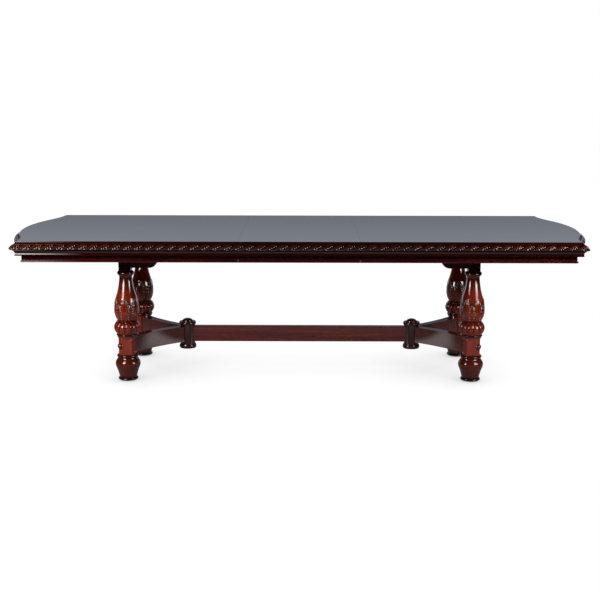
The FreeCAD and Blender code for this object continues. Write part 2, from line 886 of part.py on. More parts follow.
def cross_rail(side):
    """Rail between the front and back leg of one pedestal."""
    label = "cross_rail_" + side
    body = new_body(label)
    middle = size.leg_x * SIDES[side]
    end_y = size.leg_y - size.top_block_half
    bottom = leg_top - size.cross_rail_height
    sketch = rectangle(body, label + "_section", "XZ_Plane",
                       (middle - size.cross_rail_thickness / 2, middle + size.cross_rail_thickness / 2),
                       (bottom, leg_top), end_y)
    pad(body, sketch, end_y * 2, True)
    low = leg_top - (size.cross_rail_height + size.cross_tenon_height) / 2
    for name, end in (("front", -1), ("back", 1)):
        tenon = rectangle(body, "%s_%s_tenon" % (label, name), "XZ_Plane",
                          (middle - size.cross_tenon_thickness / 2, middle + size.cross_tenon_thickness / 2),
                          (low, low + size.cross_tenon_height), end_y * -end)
        pad(body, tenon, size.tenon_length, end > 0)


def screw_places():
    """Three screws up through each runner of the right half, as (x, y)."""
    first = seam_x + size.runner_seam_inset + size.screw_end_inset
    last = seam_x + size.runner_seam_inset + size.runner_length - size.screw_end_inset
    across = rail_inner - size.slide_gap - size.runner_thickness / 2
    return [(along, across * sign) for sign in (-1, 1) for along in (first, (first + last) / 2, last)]


def slide_runners(side):
    """Two runners under one half, whose tongues run in the grooves of the long rails."""
    runners = []
    outer = rail_inner - size.slide_gap
    inner = outer - size.runner_thickness
    tongue = outer + size.groove_depth - size.slide_gap / 2
    bottom = panel_underside - size.runner_height
    tongue_low = groove_top - size.groove_height + size.slide_gap / 2
    tongue_high = groove_top - size.slide_gap / 2
    for face, sign in (("front", -1), ("back", 1)):
        name = "runner_%s_%s" % (opposite(face, side), side)
        runner = document.addObject("PartDesign::Body", name)
        section = [(inner, bottom), (outer, bottom), (outer, tongue_low), (tongue, tongue_low),
                   (tongue, tongue_high), (outer, tongue_high), (outer, panel_underside),
                   (inner, panel_underside)]
        corners = [(across * sign, height) for across, height in section]
        sketch = outline(runner, name + "_section", "YZ_Plane", corners, seam_x + size.runner_seam_inset)
        pad(runner, sketch, size.runner_length)
        runners.append(runner)
    label = "slide_runners_" + side
    group(label, runners)
    drills = []
    for index, (x, y) in enumerate(screw_places()):
        start = (x, y, bottom - size.cut_overlap)
        sink = size.screw_head_height + size.hole_clearance + size.cut_overlap
        through = size.runner_height + size.cut_overlap * 2
        drills.append(rod("%s_hole_%d" % (label, index), size.screw_radius + size.hole_clearance, through,
                          start, (0, 0, 1)))
        drills.append(rod("%s_sink_%d" % (label, index), size.screw_head_radius + size.hole_clearance, sink,
                          start, (0, 0, 1)))
    drilled(label, drills)
    turned_for(side, label)


def runner_screws(side):
    """Screws up through the runners of one half into its panel."""
    label = "runner_screws_" + side
    bottom = panel_underside - size.runner_height
    screws = []
    for index, (x, y) in enumerate(screw_places()):
        head = rod("%s_head_%d" % (label, index), size.screw_head_radius, size.screw_head_height,
                   (x, y, bottom), (0, 0, 1))
        shank = rod("%s_shank_%d" % (label, index), size.screw_radius, size.runner_height + size.screw_bite,
                    (x, y, bottom), (0, 0, 1))
        screws.append(fused("%s_%d" % (label, index), head, shank))
    group(label, screws)
    turned_for(side, label)


# Equalizer: a rack on each half and one pinion between them

pitch_radius = size.gear_module * size.pinion_teeth / 2
gear_bottom = panel_underside - size.gear_drop - size.gear_height
bridge_top = panel_underside - size.bridge_drop
pressure_angle = math.radians(size.gear_pressure_angle.value)
base_radius = pitch_radius.value * math.cos(pressure_angle)
root_depth = size.gear_module * size.gear_root_factor


def involute_half_angle(radius):
    """Half the angle that a pinion tooth fills at a radius."""
    at_pitch = math.pi / (2 * size.pinion_teeth.value) - size.gear_backlash.value / (4 * pitch_radius.value)
    roll = math.acos(min(1.0, base_radius / radius))
    return at_pitch + math.tan(pressure_angle) - pressure_angle - math.tan(roll) + roll


def gear_pinion():
    """Pinion with involute flanks, a tooth facing each rack."""
    body = new_body("gear_pinion")
    tip = pitch_radius + size.gear_module
    root = pitch_radius - root_depth
    pad(body, circle(body, "pinion_blank", "XY_Plane", (0, 0), tip, gear_bottom), size.gear_height)
    half_tooth = math.pi / size.pinion_teeth.value
    flank = []
    for radius in (tip + size.cut_overlap, tip, pitch_radius, root):
        half_gap = half_tooth - involute_half_angle(max(radius.value, base_radius))
        flank.append((radius, half_gap))
    sides = [(radius, half_tooth - half_gap) for radius, half_gap in flank]
    sides += [(radius, half_tooth + half_gap) for radius, half_gap in reversed(flank)]
    corners = [(radius * math.sin(angle), radius * math.cos(angle)) for radius, angle in sides]
    gap = pocket(body, outline(body, "pinion_gap", "XY_Plane", corners))
    repeat_round(body, gap, size.pinion_teeth)
    pocket(body, circle(body, "pinion_bore", "XY_Plane", (0, 0), size.axle_radius + size.axle_running_gap))


def gear_axle():
    """Steel axle with a flange under the pinion and a head over it."""
    body = new_body("gear_axle")
    flange_top = gear_bottom - size.axle_end_gap
    head_bottom = gear_bottom + size.gear_height + size.axle_end_gap
    head_top = head_bottom + size.axle_head_height
    corners = [(0, bridge_top), (size.axle_flange_radius, bridge_top), (size.axle_flange_radius, flange_top),
               (size.axle_radius, flange_top), (size.axle_radius, head_bottom),
               (size.axle_head_radius, head_bottom), (size.axle_head_radius, head_top), (0, head_top)]
    revolve(body, outline(body, "axle_profile", "XZ_Plane", corners))


def gear_bridge():
    """Board between the long rails that carries the axle."""
    body = new_body("gear_bridge")
    half = size.bridge_length / 2
    board = rectangle(body, "bridge_outline", "XY_Plane", (-half, half), (-rail_inner, rail_inner),
                      bridge_top - size.bridge_thickness)
    pad(body, board, size.bridge_thickness)


def gear_rack(side):
    """Rack that reaches from under one half to past the pinion, hung from the panel by its outer end."""
    label = "gear_rack_" + side
    body = new_body(label)
    tooth_pitch = size.gear_module * math.pi
    tip_y = pitch_radius - size.gear_module
    root_y = pitch_radius + root_depth
    back_y = root_y + size.rack_back
    near_x = seam_x + size.runner_seam_inset
    far_x = near_x + size.rack_hanger_length
    bar = rectangle(body, label + "_bar", "XY_Plane", (-size.rack_overrun, far_x), (tip_y, back_y),
                    gear_bottom)
    pad(body, bar, size.gear_height)
    hanger = rectangle(body, label + "_hanger", "XY_Plane", (near_x, far_x), (tip_y, back_y),
                       gear_bottom + size.gear_height)
    pad(body, hanger, size.gear_drop)
    slope = math.tan(pressure_angle)
    half_gap = tooth_pitch / 4 + size.gear_backlash / 4
    wide = half_gap + (size.gear_module + size.cut_overlap) * slope
    narrow = half_gap - root_depth * slope
    before = math.floor((size.rack_overrun.value - size.gear_module.value) / tooth_pitch.value)
    after = math.floor((near_x.value - size.gear_module.value) / tooth_pitch.value)
    start = -tooth_pitch * before
    gap_y = tip_y - size.cut_overlap
    corners = [(start - wide, gap_y), (start + wide, gap_y),
               (start + narrow, root_y), (start - narrow, root_y)]
    gap = pocket(body, outline(body, label + "_gap", "XY_Plane", corners))
    repeat_along(body, gap, "X_Axis", tooth_pitch, before + after + 1)
    turned_for(side, label)


# Pedestals

lower_vase = arc_over((vase_widest_height - vase_start) * 2, size.vase_radius - size.waist_radius)


def leg_profile():
    """Turned outline of a leg as (radius, height, bend), from the floor to the square top."""
    ring = arc_over(size.block_bottom - size.lower_ring_bottom, size.ring_proud)
    upper_ring = arc_over(size.upper_ring_top - size.upper_ring_bottom, size.ring_proud)
    neck_ring = arc_over(neck_ring_top - neck_ring_bottom, size.neck_ring_proud)
    foot_ring = arc_over(size.foot_ring_top - size.glide_height, size.foot_ring_proud)
    foot_bulge = arc_over(size.foot_bulge_top - size.foot_taper_top, size.foot_bulge_proud)
    melon = arc_over(size.melon_top - size.melon_bottom, size.melon_proud)
    shoulder_rise = vase_shoulder_height - vase_widest_height
    upper_vase = arc_over(shoulder_rise * 2, size.vase_radius - size.vase_shoulder_radius)
    return [
        (0, size.glide_height),
        (size.foot_base_radius, size.glide_height, foot_ring),
        (size.foot_base_radius, size.foot_ring_top),
        (size.foot_neck_radius, size.foot_ring_top),
        (size.foot_neck_radius, size.foot_ring_top + size.foot_neck_height),
        (size.foot_taper_radius, size.foot_taper_top, foot_bulge),
        (size.foot_bulge_radius, size.foot_bulge_top),
        (size.ring_base_radius, size.lower_ring_bottom, ring),
        (size.ring_base_radius, size.block_bottom),
        (size.block_core_radius, size.block_bottom),
        (size.block_core_radius, size.block_top),
        (size.ring_base_radius, size.block_top),
        (size.ring_base_radius, size.upper_ring_bottom, upper_ring),
        (size.ring_base_radius, size.upper_ring_top),
        (size.ring_base_radius, size.melon_bottom),
        (size.melon_base_radius, size.melon_bottom, melon),
        (size.melon_base_radius, size.melon_top),
        (size.waist_radius, size.melon_top),
        (size.waist_radius, vase_start, lower_vase),
        (size.vase_radius, vase_widest_height, upper_vase),
        (size.vase_shoulder_radius, vase_shoulder_height, -size.neck_curve_radius),
        (size.neck_radius, neck_height),
        (size.neck_ring_radius, neck_ring_bottom, neck_ring),
        (size.neck_ring_radius, neck_ring_top),
        (size.top_block_half, top_block_bottom),
        (0, top_block_bottom),
    ]


def block_corners(centre_x=0, centre_y=0):
    """A leg's square block in plan, with its corners cut off."""
    side = size.block_half
    short = size.block_half - size.block_chamfer
    eight = [(side, -short), (side, short), (short, side), (-short, side),
             (-side, short), (-side, -short), (-short, -side), (short, -side)]
    return [(centre_x + x, centre_y + y) for x, y in eight]


def carved_fronds(name, start_angle):
    """Fronds that rise from the waist round the vase, as one tool for the legs."""
    sleeve = document.addObject("PartDesign::Body", name + "_sleeve")
    wide = size.vase_radius + size.frond_proud
    profile = [(0, vase_start), (size.waist_radius + size.frond_proud, vase_start, lower_vase),
               (wide, vase_widest_height), (size.vase_radius, frond_tip_height),
               (0, frond_tip_height)]
    revolve(sleeve, outline(sleeve, name + "_profile", "XZ_Plane", profile))
    blades = []
    for index in range(int(size.frond_count.value)):
        blade = document.addObject("PartDesign::Body", "%s_blade_%d" % (name, index))
        corners = [(-size.frond_foot_half_width, vase_start),
                   (size.frond_foot_half_width, vase_start, size.frond_foot_bend),
                   (size.frond_half_width, frond_widest_height, size.frond_tip_bend),
                   (0, frond_tip_height, size.frond_tip_bend),
                   (-size.frond_half_width, frond_widest_height, size.frond_foot_bend)]
        sketch = outline(blade, blade.Name + "_outline", "XZ_Plane", corners, size.waist_radius)
        pad(blade, sketch, size.vase_radius)
        angle = start_angle + index * 360 / size.frond_count.value
        blades.append(place(blade, rotation=FreeCAD.Rotation(FreeCAD.Vector(0, 0, 1), angle)))
    bundle = document.addObject("Part::Compound", name + "_blades")
    bundle.Links = blades
    fronds = document.addObject("Part::Common", name)
    fronds.Base = sleeve
    fronds.Tool = bundle
    return fronds


def leg(corner, fronds):
    """Turned leg with two square blocks, a carved melon and vase, mortises for the rails and a bolt hole."""
    sign_x, sign_y = QUADRANTS[corner]
    label = "leg_" + corner
    body = new_body(label)
    revolve(body, outline(body, label + "_profile", "XZ_Plane", leg_profile()))
    block = outline(body, label + "_block", "XY_Plane", block_corners(), size.block_bottom)
    pad(body, block, size.block_top - size.block_bottom)
    half = size.top_block_half
    top_block = rectangle(body, label + "_top_block", "XY_Plane", (-half, half), (-half, half),
                          top_block_bottom)
    pad(body, top_block, leg_top - top_block_bottom)
    melon_radius = size.melon_base_radius + size.melon_proud
    groove_centre = melon_radius + size.melon_groove_radius - size.melon_groove_depth
    groove = circle(body, label + "_groove", "XY_Plane", (0, groove_centre), size.melon_groove_radius,
                    size.melon_top)
    repeat_round(body, pocket(body, groove, size.melon_top - size.melon_bottom), size.melon_lobes)
    loose = size.hole_clearance
    rail_half = size.rail_tenon_thickness / 2 + loose
    rail_low = rail_tenon_bottom - loose
    rail_high = rail_tenon_bottom + size.rail_tenon_height + loose
    mortise = rectangle(body, label + "_rail_mortise", "YZ_Plane", (-rail_half, rail_half),
                        (rail_low, rail_high), half * -sign_x)
    pocket(body, mortise, size.tenon_length + loose, sign_x > 0)
    cross_half = size.cross_tenon_thickness / 2 + loose
    cross_middle = leg_top - size.cross_rail_height / 2
    cross_reach = size.cross_tenon_height / 2 + loose
    mortise = rectangle(body, label + "_cross_mortise", "XZ_Plane", (-cross_half, cross_half),
                        (cross_middle - cross_reach, cross_middle + cross_reach), half * sign_y)
    pocket(body, mortise, size.tenon_length + loose, sign_y < 0)
    carved = fused(label + "_carved", body, fronds)
    body.Label = label + "_turned"
    pieces[label] = carved

    def drill(name, radius, outer, inner):
        start = (outer / root_two * sign_x, outer / root_two * sign_y, size.bolt_height)
        return rod("%s_%s" % (label, name), radius + loose, outer - inner, start, (-sign_x, -sign_y, 0))

    outside = diagonal_reach + size.cut_overlap
    drills = [
        drill("bolt_hole", size.bolt_radius, outside, -outside),
        drill("bolt_sink", size.bolt_head_radius, outside, size.cap_seat_reach - size.bolt_head_height),
        drill("cap_sink", size.cap_radius + size.cap_ring_gap, outside, size.cap_seat_reach),
    ]
    place(drilled(label, drills), size.leg_x * sign_x, size.leg_y * sign_y)


def on_diagonal(corner, reach):
    """A point on a leg's diagonal at bolt height, by its reach outward from the leg's axis."""
    sign_x, sign_y = QUADRANTS[corner]
    step = reach / root_two
    return ((size.leg_x + step) * sign_x, (size.leg_y + step) * sign_y, size.bolt_height)


def leg_bolts():
    """Bolts from the legs into the arms."""
    bolts = []
    head_start = size.cap_seat_reach - size.hole_clearance
    for corner, (sign_x, sign_y) in QUADRANTS.items():
        inward = (-sign_x, -sign_y, 0)
        start = on_diagonal(corner, head_start)
        head = rod("bolt_head_" + corner, size.bolt_head_radius, size.bolt_head_height - size.hole_clearance,
                   start, inward)
        shank = rod("bolt_shank_" + corner, size.bolt_radius, head_start + diagonal_reach + size.bolt_reach,
                    start, inward)
        bolts.append(fused("bolt_" + corner, head, shank))
    group("leg_bolts", bolts)


def barrel_nuts():
    """Upright barrel nuts in the arms, each with a hole for its bolt."""
    nuts = []
    nut_reach = -diagonal_reach - size.nut_inset
    for corner, (sign_x, sign_y) in QUADRANTS.items():
        x, y, z = on_diagonal(corner, nut_reach)
        low = z - size.nut_height / 2
        blank = rod("nut_blank_" + corner, size.nut_radius, size.nut_height, (x, y, low), (0, 0, 1))
        hole = rod("nut_hole_" + corner, size.bolt_radius + size.hole_clearance, size.nut_radius * 4,
                   on_diagonal(corner, nut_reach + size.nut_radius * 2), (-sign_x, -sign_y, 0))
        nut = document.addObject("Part::Cut", "nut_" + corner)
        nut.Base = blank
        nut.Tool = hole
        nuts.append(nut)
    group("barrel_nuts", nuts)


def leg_bolt_caps():
    """Round caps over the bolt heads, each half a ball on a flat seat."""
    caps = []
    for corner, (sign_x, sign_y) in QUADRANTS.items():
        cap = document.addObject("Part::Sphere", "cap_" + corner)
        cap.setExpression("Radius", size.cap_radius.text)
        cap.Angle1 = 0
        turn = FreeCAD.Rotation(FreeCAD.Vector(0, 0, 1), FreeCAD.Vector(sign_x, sign_y, 0))
        caps.append(place(cap, *on_diagonal(corner, size.cap_seat_reach), rotation=turn))
    group("leg_bolt_caps", caps)


def foot_glides():
    """Glides under the feet."""
    glides = [rod("glide_" + corner, size.glide_radius, size.glide_height,
                  (size.leg_x * sign_x, size.leg_y * sign_y, 0), (0, 0, 1))
              for corner, (sign_x, sign_y) in QUADRANTS.items()]
    group("foot_glides", glides)


def hub_profile():
    """Turned outline of a hub as (radius, height, bend), with a low dome on top."""
    flange_top = size.hub_bottom + size.hub_flange_height
    upper_flange = size.hub_top - size.hub_top_flange_height
    step_top = size.hub_top + size.hub_step_height
    lower_round = arc_over(size.hub_flange_height, size.hub_edge_round)
    upper_round = arc_over(size.hub_top_flange_height, size.hub_edge_round)
    rim = size.hub_flange_radius - size.hub_edge_round
    dome = arc_over(size.hub_dome_radius * 2, size.hub_dome_height)
    return [
        (0, size.hub_bottom),
        (rim, size.hub_bottom, lower_round),
        (rim, flange_top),
        (size.hub_shaft_radius, flange_top),
        (size.hub_shaft_radius, upper_flange),
        (rim, upper_flange, upper_round),
        (rim, size.hub_top),
        (size.hub_step_radius, size.hub_top),
        (size.hub_step_radius, step_top),
        (size.hub_dome_radius, step_top, dome),
        (0, step_top + size.hub_dome_height),
    ]


def arm_direction():
    """Direction in which an arm leaves its hub, in the quadrant where both signs are positive."""
    chord_x = size.leg_x.value - size.hub_x.value
    chord_y = size.leg_y.value
    chord = math.hypot(chord_x, chord_y)
    angle = math.atan2(chord_y, chord_x) - 2 * math.atan(2 * size.arm_bow.value / chord)
    return math.cos(angle), math.sin(angle)


stretcher_middle = size.stretcher_bottom + size.stretcher_height / 2


def dowel(name, hub_x, direction, radius, length):
    """A dowel or its hole across the joint of a hub and what it carries."""
    near = size.hub_shaft_radius - length / 2
    start = (hub_x + near * direction[0], near * direction[1], stretcher_middle)
    return rod(name, radius, length, start, (direction[0], direction[1], 0))


def hub_directions(sign_x):
    """Where the two arms and the stretcher leave a hub."""
    along, across = arm_direction()
    return {"front": (along * sign_x, -across), "back": (along * sign_x, across), "stretcher": (-sign_x, 0)}


def hub(side):
    """Turned hub with three dowel holes."""
    label = "hub_" + side
    sign_x = SIDES[side]
    body = new_body(label)
    revolve(body, outline(body, label + "_profile", "XZ_Plane", hub_profile()))
    wide = size.dowel_radius + size.hole_clearance
    deep = size.dowel_length + size.hole_clearance * 2
    holes = [dowel("%s_%s_hole" % (label, name), as_size(0), direction, wide, deep)
             for name, direction in hub_directions(sign_x).items()]
    place(drilled(label, holes), size.hub_x * sign_x)


def hub_dowels():
    """Dowels that join the arms and the stretcher to the hubs."""
    pins = []
    for side, sign_x in SIDES.items():
        for name, direction in hub_directions(sign_x).items():
            pins.append(dowel("dowel_%s_%s" % (side, name), size.hub_x * sign_x, direction, size.dowel_radius,
                              size.dowel_length))
    group("hub_dowels", pins)


def long_level_edge(edge):
    """Picks the long edges along the top and bottom of the stretcher."""
    return edge.BoundBox.ZLength < size.cut_overlap.value and edge.Length > size.stretcher_height.value * 2


def stretcher():
    """Straight stretcher, its ends hollowed to fit the hubs."""
    body = new_body("stretcher")
    half = size.stretcher_thickness / 2
    sketch = rectangle(body, "stretcher_outline", "XY_Plane", (-size.hub_x, size.hub_x), (-half, half),
                       size.stretcher_bottom)
    round_edges(body, pad(body, sketch, size.stretcher_height), size.stretcher_edge_round, long_level_edge)
    wide = size.dowel_radius + size.hole_clearance
    deep = size.dowel_length + size.hole_clearance * 2
    holes = []
    for side, sign_x in SIDES.items():
        hub_place = (size.hub_x * sign_x, 0)
        pocket(body, circle(body, "stretcher_%s_hollow" % side, "XY_Plane", hub_place, size.hub_shaft_radius))
        direction = hub_directions(sign_x)["stretcher"]
        holes.append(dowel("stretcher_%s_hole" % side, hub_place[0], direction, wide, deep))
    drilled("stretcher", holes)


def arm(corner):
    """Curved arm from a hub to the inner corner of a leg's block, hollowed at both ends to fit."""
    sign_x, sign_y = QUADRANTS[corner]
    label = "arm_" + corner
    body = new_body(label)
    chord_x = size.leg_x - size.hub_x
    chord_y = size.leg_y
    chord = (chord_x * chord_x + chord_y * chord_y).root()
    left_x = -chord_y / chord
    left_y = chord_x / chord
    bend = arc_over(chord, size.arm_bow) * (sign_x * sign_y)
    near = size.arm_hub_half
    far = size.arm_leg_half
    plan = [
        (size.hub_x + left_x * near, left_y * near, bend),
        (size.leg_x + left_x * far, size.leg_y + left_y * far),
        (size.leg_x - left_x * far, size.leg_y - left_y * far, -bend),
        (size.hub_x - left_x * near, -left_y * near),
    ]
    corners = [(x * sign_x, y * sign_y, *rest) for x, y, *rest in plan]
    sketch = outline(body, label + "_outline", "XY_Plane", corners, size.stretcher_bottom)
    pad(body, sketch, size.stretcher_height)
    hub_place = (size.hub_x * sign_x, 0)
    pocket(body, circle(body, label + "_hub_hollow", "XY_Plane", hub_place, size.hub_shaft_radius))
    notch = block_corners(size.leg_x * sign_x, size.leg_y * sign_y)
    pocket(body, outline(body, label + "_block_notch", "XY_Plane", notch))
    loose = size.hole_clearance
    face = "front" if sign_y < 0 else "back"
    nut_x, nut_y, nut_z = on_diagonal(corner, -diagonal_reach - size.nut_inset)
    nut_low = size.stretcher_bottom - size.cut_overlap
    drills = [
        dowel(label + "_dowel_hole", hub_place[0], hub_directions(sign_x)[face], size.dowel_radius + loose,
              size.dowel_length + loose * 2),
        rod(label + "_bolt_hole", size.bolt_radius + loose, size.bolt_reach + loose + size.cut_overlap,
            on_diagonal(corner, size.cut_overlap - diagonal_reach), (-sign_x, -sign_y, 0)),
        rod(label + "_nut_hole", size.nut_radius + loose, nut_z + size.nut_height / 2 + loose - nut_low,
            (nut_x, nut_y, nut_low), (0, 0, 1)),
    ]
    drilled(label, drills)


# Build every piece

def build_half(side):
    """Everything that moves with one half of the top."""
    top_half(side)
    for face in ("front", "back"):
        where = "%s_%s" % (opposite(face, side), side)
        side_run("edge_" + where, moulding_section(), face, side)
        side_run("apron_" + where, apron_section(), face, side)
        side_rope("rope_" + where, face, side)
    end_run("edge_end_" + side, moulding_section(), side)
    end_run("apron_end_" + side, apron_section(), side)
    end_rope("rope_end_" + side, side)
    corner_blocks(side)
    slide_runners(side)
    runner_screws(side)
    gear_rack(side)


def build_leaf():
    """Everything that lifts off with the leaf."""
    leaf_panel()
    for face in ("front", "back"):
        leaf_run("edge_%s_leaf" % face, moulding_section(), face)
        leaf_run("apron_%s_leaf" % face, apron_section(), face)
        leaf_rope("rope_%s_leaf" % face, face)


def build_base():
    """The two pedestals and what joins them."""
    fronds = {}
    for turn in (-1, 1):
        name = "fronds_left_handed" if turn < 0 else "fronds_right_handed"
        fronds[turn] = carved_fronds(name, size.frond_start_angle.value * turn)
    for corner, (sign_x, sign_y) in QUADRANTS.items():
        leg(corner, fronds[-sign_x * sign_y])
        arm(corner)
    for side in SIDES:
        hub(side)
        cross_rail(side)
    stretcher()
    hub_dowels()
    leg_bolts()
    barrel_nuts()
    leg_bolt_caps()
    foot_glides()
    long_rail("rail_front", -1)
    long_rail("rail_back", 1)
    gear_bridge()
    gear_axle()
    gear_pinion()


def check_and_write():
    """Stops on any failed object or bad solid, then writes one file for each piece."""
    document.recompute()
    for thing in document.Objects:
        if "Invalid" in thing.State or "Error" in thing.State:
            raise RuntimeError("%s failed: %s" % (thing.Label, thing.State))
    for label, piece in pieces.items():
        if piece.Shape.isNull() or not piece.Shape.isValid() or not piece.Shape.Solids:
            raise RuntimeError("%s has no good solid" % label)
    os.makedirs("parts", exist_ok=True)
    for label, piece in pieces.items():
        piece.Shape.exportStep(os.path.join("parts", label + ".step"))
    print("%d pieces, %d solids" % (len(pieces), sum(len(piece.Shape.Solids) for piece in pieces.values())))


build_base()
build_leaf()
for side_name in SIDES:
    build_half(side_name)
check_and_write()
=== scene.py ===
# %% [markdown]
# A long dining table on two carved pedestals, finished in dark, glossy mahogany. The CAD model gives every board,
# leg and gear in its right place. Here each surface gets its finish, and the carved and turned pieces get a finer
# shape than the solids carry. The frame is loaded first.

# %% Load the frame
import bpy
import bmesh
import json
import math
import numpy as np
from mathutils import Matrix, Vector


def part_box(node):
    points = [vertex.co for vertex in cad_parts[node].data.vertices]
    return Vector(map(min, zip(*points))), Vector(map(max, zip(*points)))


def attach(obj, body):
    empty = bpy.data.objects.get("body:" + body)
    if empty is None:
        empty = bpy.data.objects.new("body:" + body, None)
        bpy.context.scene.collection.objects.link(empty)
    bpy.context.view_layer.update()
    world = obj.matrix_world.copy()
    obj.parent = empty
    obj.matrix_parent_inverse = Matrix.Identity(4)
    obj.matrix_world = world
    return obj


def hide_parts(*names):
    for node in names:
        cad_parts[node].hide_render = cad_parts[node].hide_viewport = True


MM = 0.001
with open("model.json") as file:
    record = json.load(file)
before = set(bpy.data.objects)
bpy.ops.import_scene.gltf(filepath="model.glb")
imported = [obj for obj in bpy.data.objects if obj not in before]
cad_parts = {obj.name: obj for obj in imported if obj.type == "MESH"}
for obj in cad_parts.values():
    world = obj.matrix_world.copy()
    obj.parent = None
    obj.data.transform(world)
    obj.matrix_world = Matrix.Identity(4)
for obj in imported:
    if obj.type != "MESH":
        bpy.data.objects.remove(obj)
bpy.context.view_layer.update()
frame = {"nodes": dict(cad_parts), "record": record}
nodes = frame["nodes"]

# %% [markdown]
# Sizes are read from the frame where a node shows them, so the finer pieces sit exactly where the solids sit. They
# could be typed in again, but then a change in the CAD model would leave the finer pieces behind. The rope and the
# turned profiles need a few sizes that no box shows. Those are in millimetres, where they are first used.

# %% Read the main places from the frame
def middle_of(node):
    """The middle of a node's box."""
    low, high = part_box(node)
    return [(a + b) / 2 for a, b in zip(low, high)]


leaf_low, leaf_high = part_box("leaf_panel")
table_height = leaf_high[2]
half_width = leaf_high[1]
leaf_length = leaf_high[0] - leaf_low[0]
top_low, top_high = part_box("top_right")
seam_x = top_low[0]
end_x = top_high[0]
leg_x = middle_of("leg_front_right")[0]
leg_y = middle_of("leg_back_right")[1]
print("top at %.3f m, half width %.3f m, leg axis at %.3f, %.3f" % (table_height, half_width, leg_x, leg_y))

# %% [markdown]
# Every finish is a node tree. It could be clicked together in the shader editor, but a tree that a script builds can
# be read, compared and built again. One function adds a node, sets it and links it, and one turns a colour as a
# painter would write it, in sRGB hex, into the linear values that the renderer works with.

# %% Small helpers for materials
def linear(hex_colour):
    """An sRGB colour such as "6a2c14" as linear red, green, blue and alpha."""
    channels = [int(hex_colour[place:place + 2], 16) / 255 for place in (0, 2, 4)]
    return tuple(c / 12.92 if c <= 0.04045 else ((c + 0.055) / 1.055) ** 2.4 for c in channels) + (1.0,)


def add_node(tree, kind, sockets, **settings):
    """Adds a node with its settings, then fills its sockets with values or links."""
    made = tree.nodes.new(kind)
    for setting, value in settings.items():
        setattr(made, setting, value)
    for socket, value in sockets.items():
        if isinstance(value, bpy.types.NodeSocket):
            tree.links.new(value, made.inputs[socket])
        else:
            made.inputs[socket].default_value = value
    return made


def new_material(name):
    """An empty material and its node tree."""
    material = bpy.data.materials.new(name)
    material.use_nodes = True
    material.node_tree.nodes.clear()
    return material, material.node_tree


def fill_ramp(ramp, stops):
    """Sets the stops of a colour ramp, pairs of position and colour."""
    ramp.elements.remove(ramp.elements[1])
    for index, (position, colour) in enumerate(stops):
        stop = ramp.elements.new(position) if index else ramp.elements[0]
        stop.position = position
        stop.color = colour


def grey_stops(steps, low=0.0, high=1.0):
    """Stops for a ramp that runs from low to high, from pairs of place and brightness."""
    return [((place - low) / (high - low), (light, light, light, 1)) for place, light in steps]


def object_place(tree):
    """The X, Y and Z of the Object coordinates."""
    coordinates = add_node(tree, "ShaderNodeTexCoord", {})
    return add_node(tree, "ShaderNodeSeparateXYZ", {"Vector": coordinates.outputs["Object"]}).outputs


print("a red-brown, 6a2c14, in linear light:", [round(channel, 3) for channel in linear("6a2c14")])

# %% [markdown]
# Mahogany under gloss lacquer shows three things: long soft stripes of lighter and darker red-brown along the grain,
# fine dark pores, and a clear hard skin that mirrors the room. Noise stretched along the grain gives the stripes and
# the pores, and the shader's coat is the lacquer. Real pores are about 0.3 mm wide, too fine to see from across a
# room, so they are drawn a few times wider. The grain runs along a chosen axis, as the board or post was cut.
#
# In the carving, the hollows and the ground between the leaves are dark with glaze and painted shade, and the turned
# rings, the top of the melon ring and the beads carry painted shade; the crests, the leaf tips and the upper, outer
# sides of the beads carry painted highlights in a pale colour. The carved meshes say with two attributes,
# glaze_and_shade and painted_highlight, how much of each there is, so one finish serves every leg.

# %% Lacquered mahogany
GRAIN_AXES = {"x": 0, "y": 1, "z": 2}
GLAZE_AND_SHADE_COLOUR = "0c0202"
PAINTED_HIGHLIGHT_COLOUR = "d9d2cc"
FIGURE_STOPS = (0.30, 0.5, 0.72)
STRIPE_LENGTH = 22
PORE_WIDTH, PORE_LENGTH, PORE_DEPTH = 1.6, 30, 0.15
PORE_FULL, PORE_NONE = 0.34, 0.5
PORE_SHADE, PORE_BUMP = 0.55, 0.12
LACQUER_IOR = 1.5


def grain_mapping(tree, axis, across_mm, along_mm):
    """Object coordinates scaled so that one unit of noise is this wide and this long, in millimetres."""
    scale = [1 / (across_mm * MM)] * 3
    scale[GRAIN_AXES[axis]] = 1 / (along_mm * MM)
    coordinates = add_node(tree, "ShaderNodeTexCoord", {})
    mapping = add_node(tree, "ShaderNodeMapping", {"Vector": coordinates.outputs["Object"], "Scale": scale})
    return mapping.outputs["Vector"]


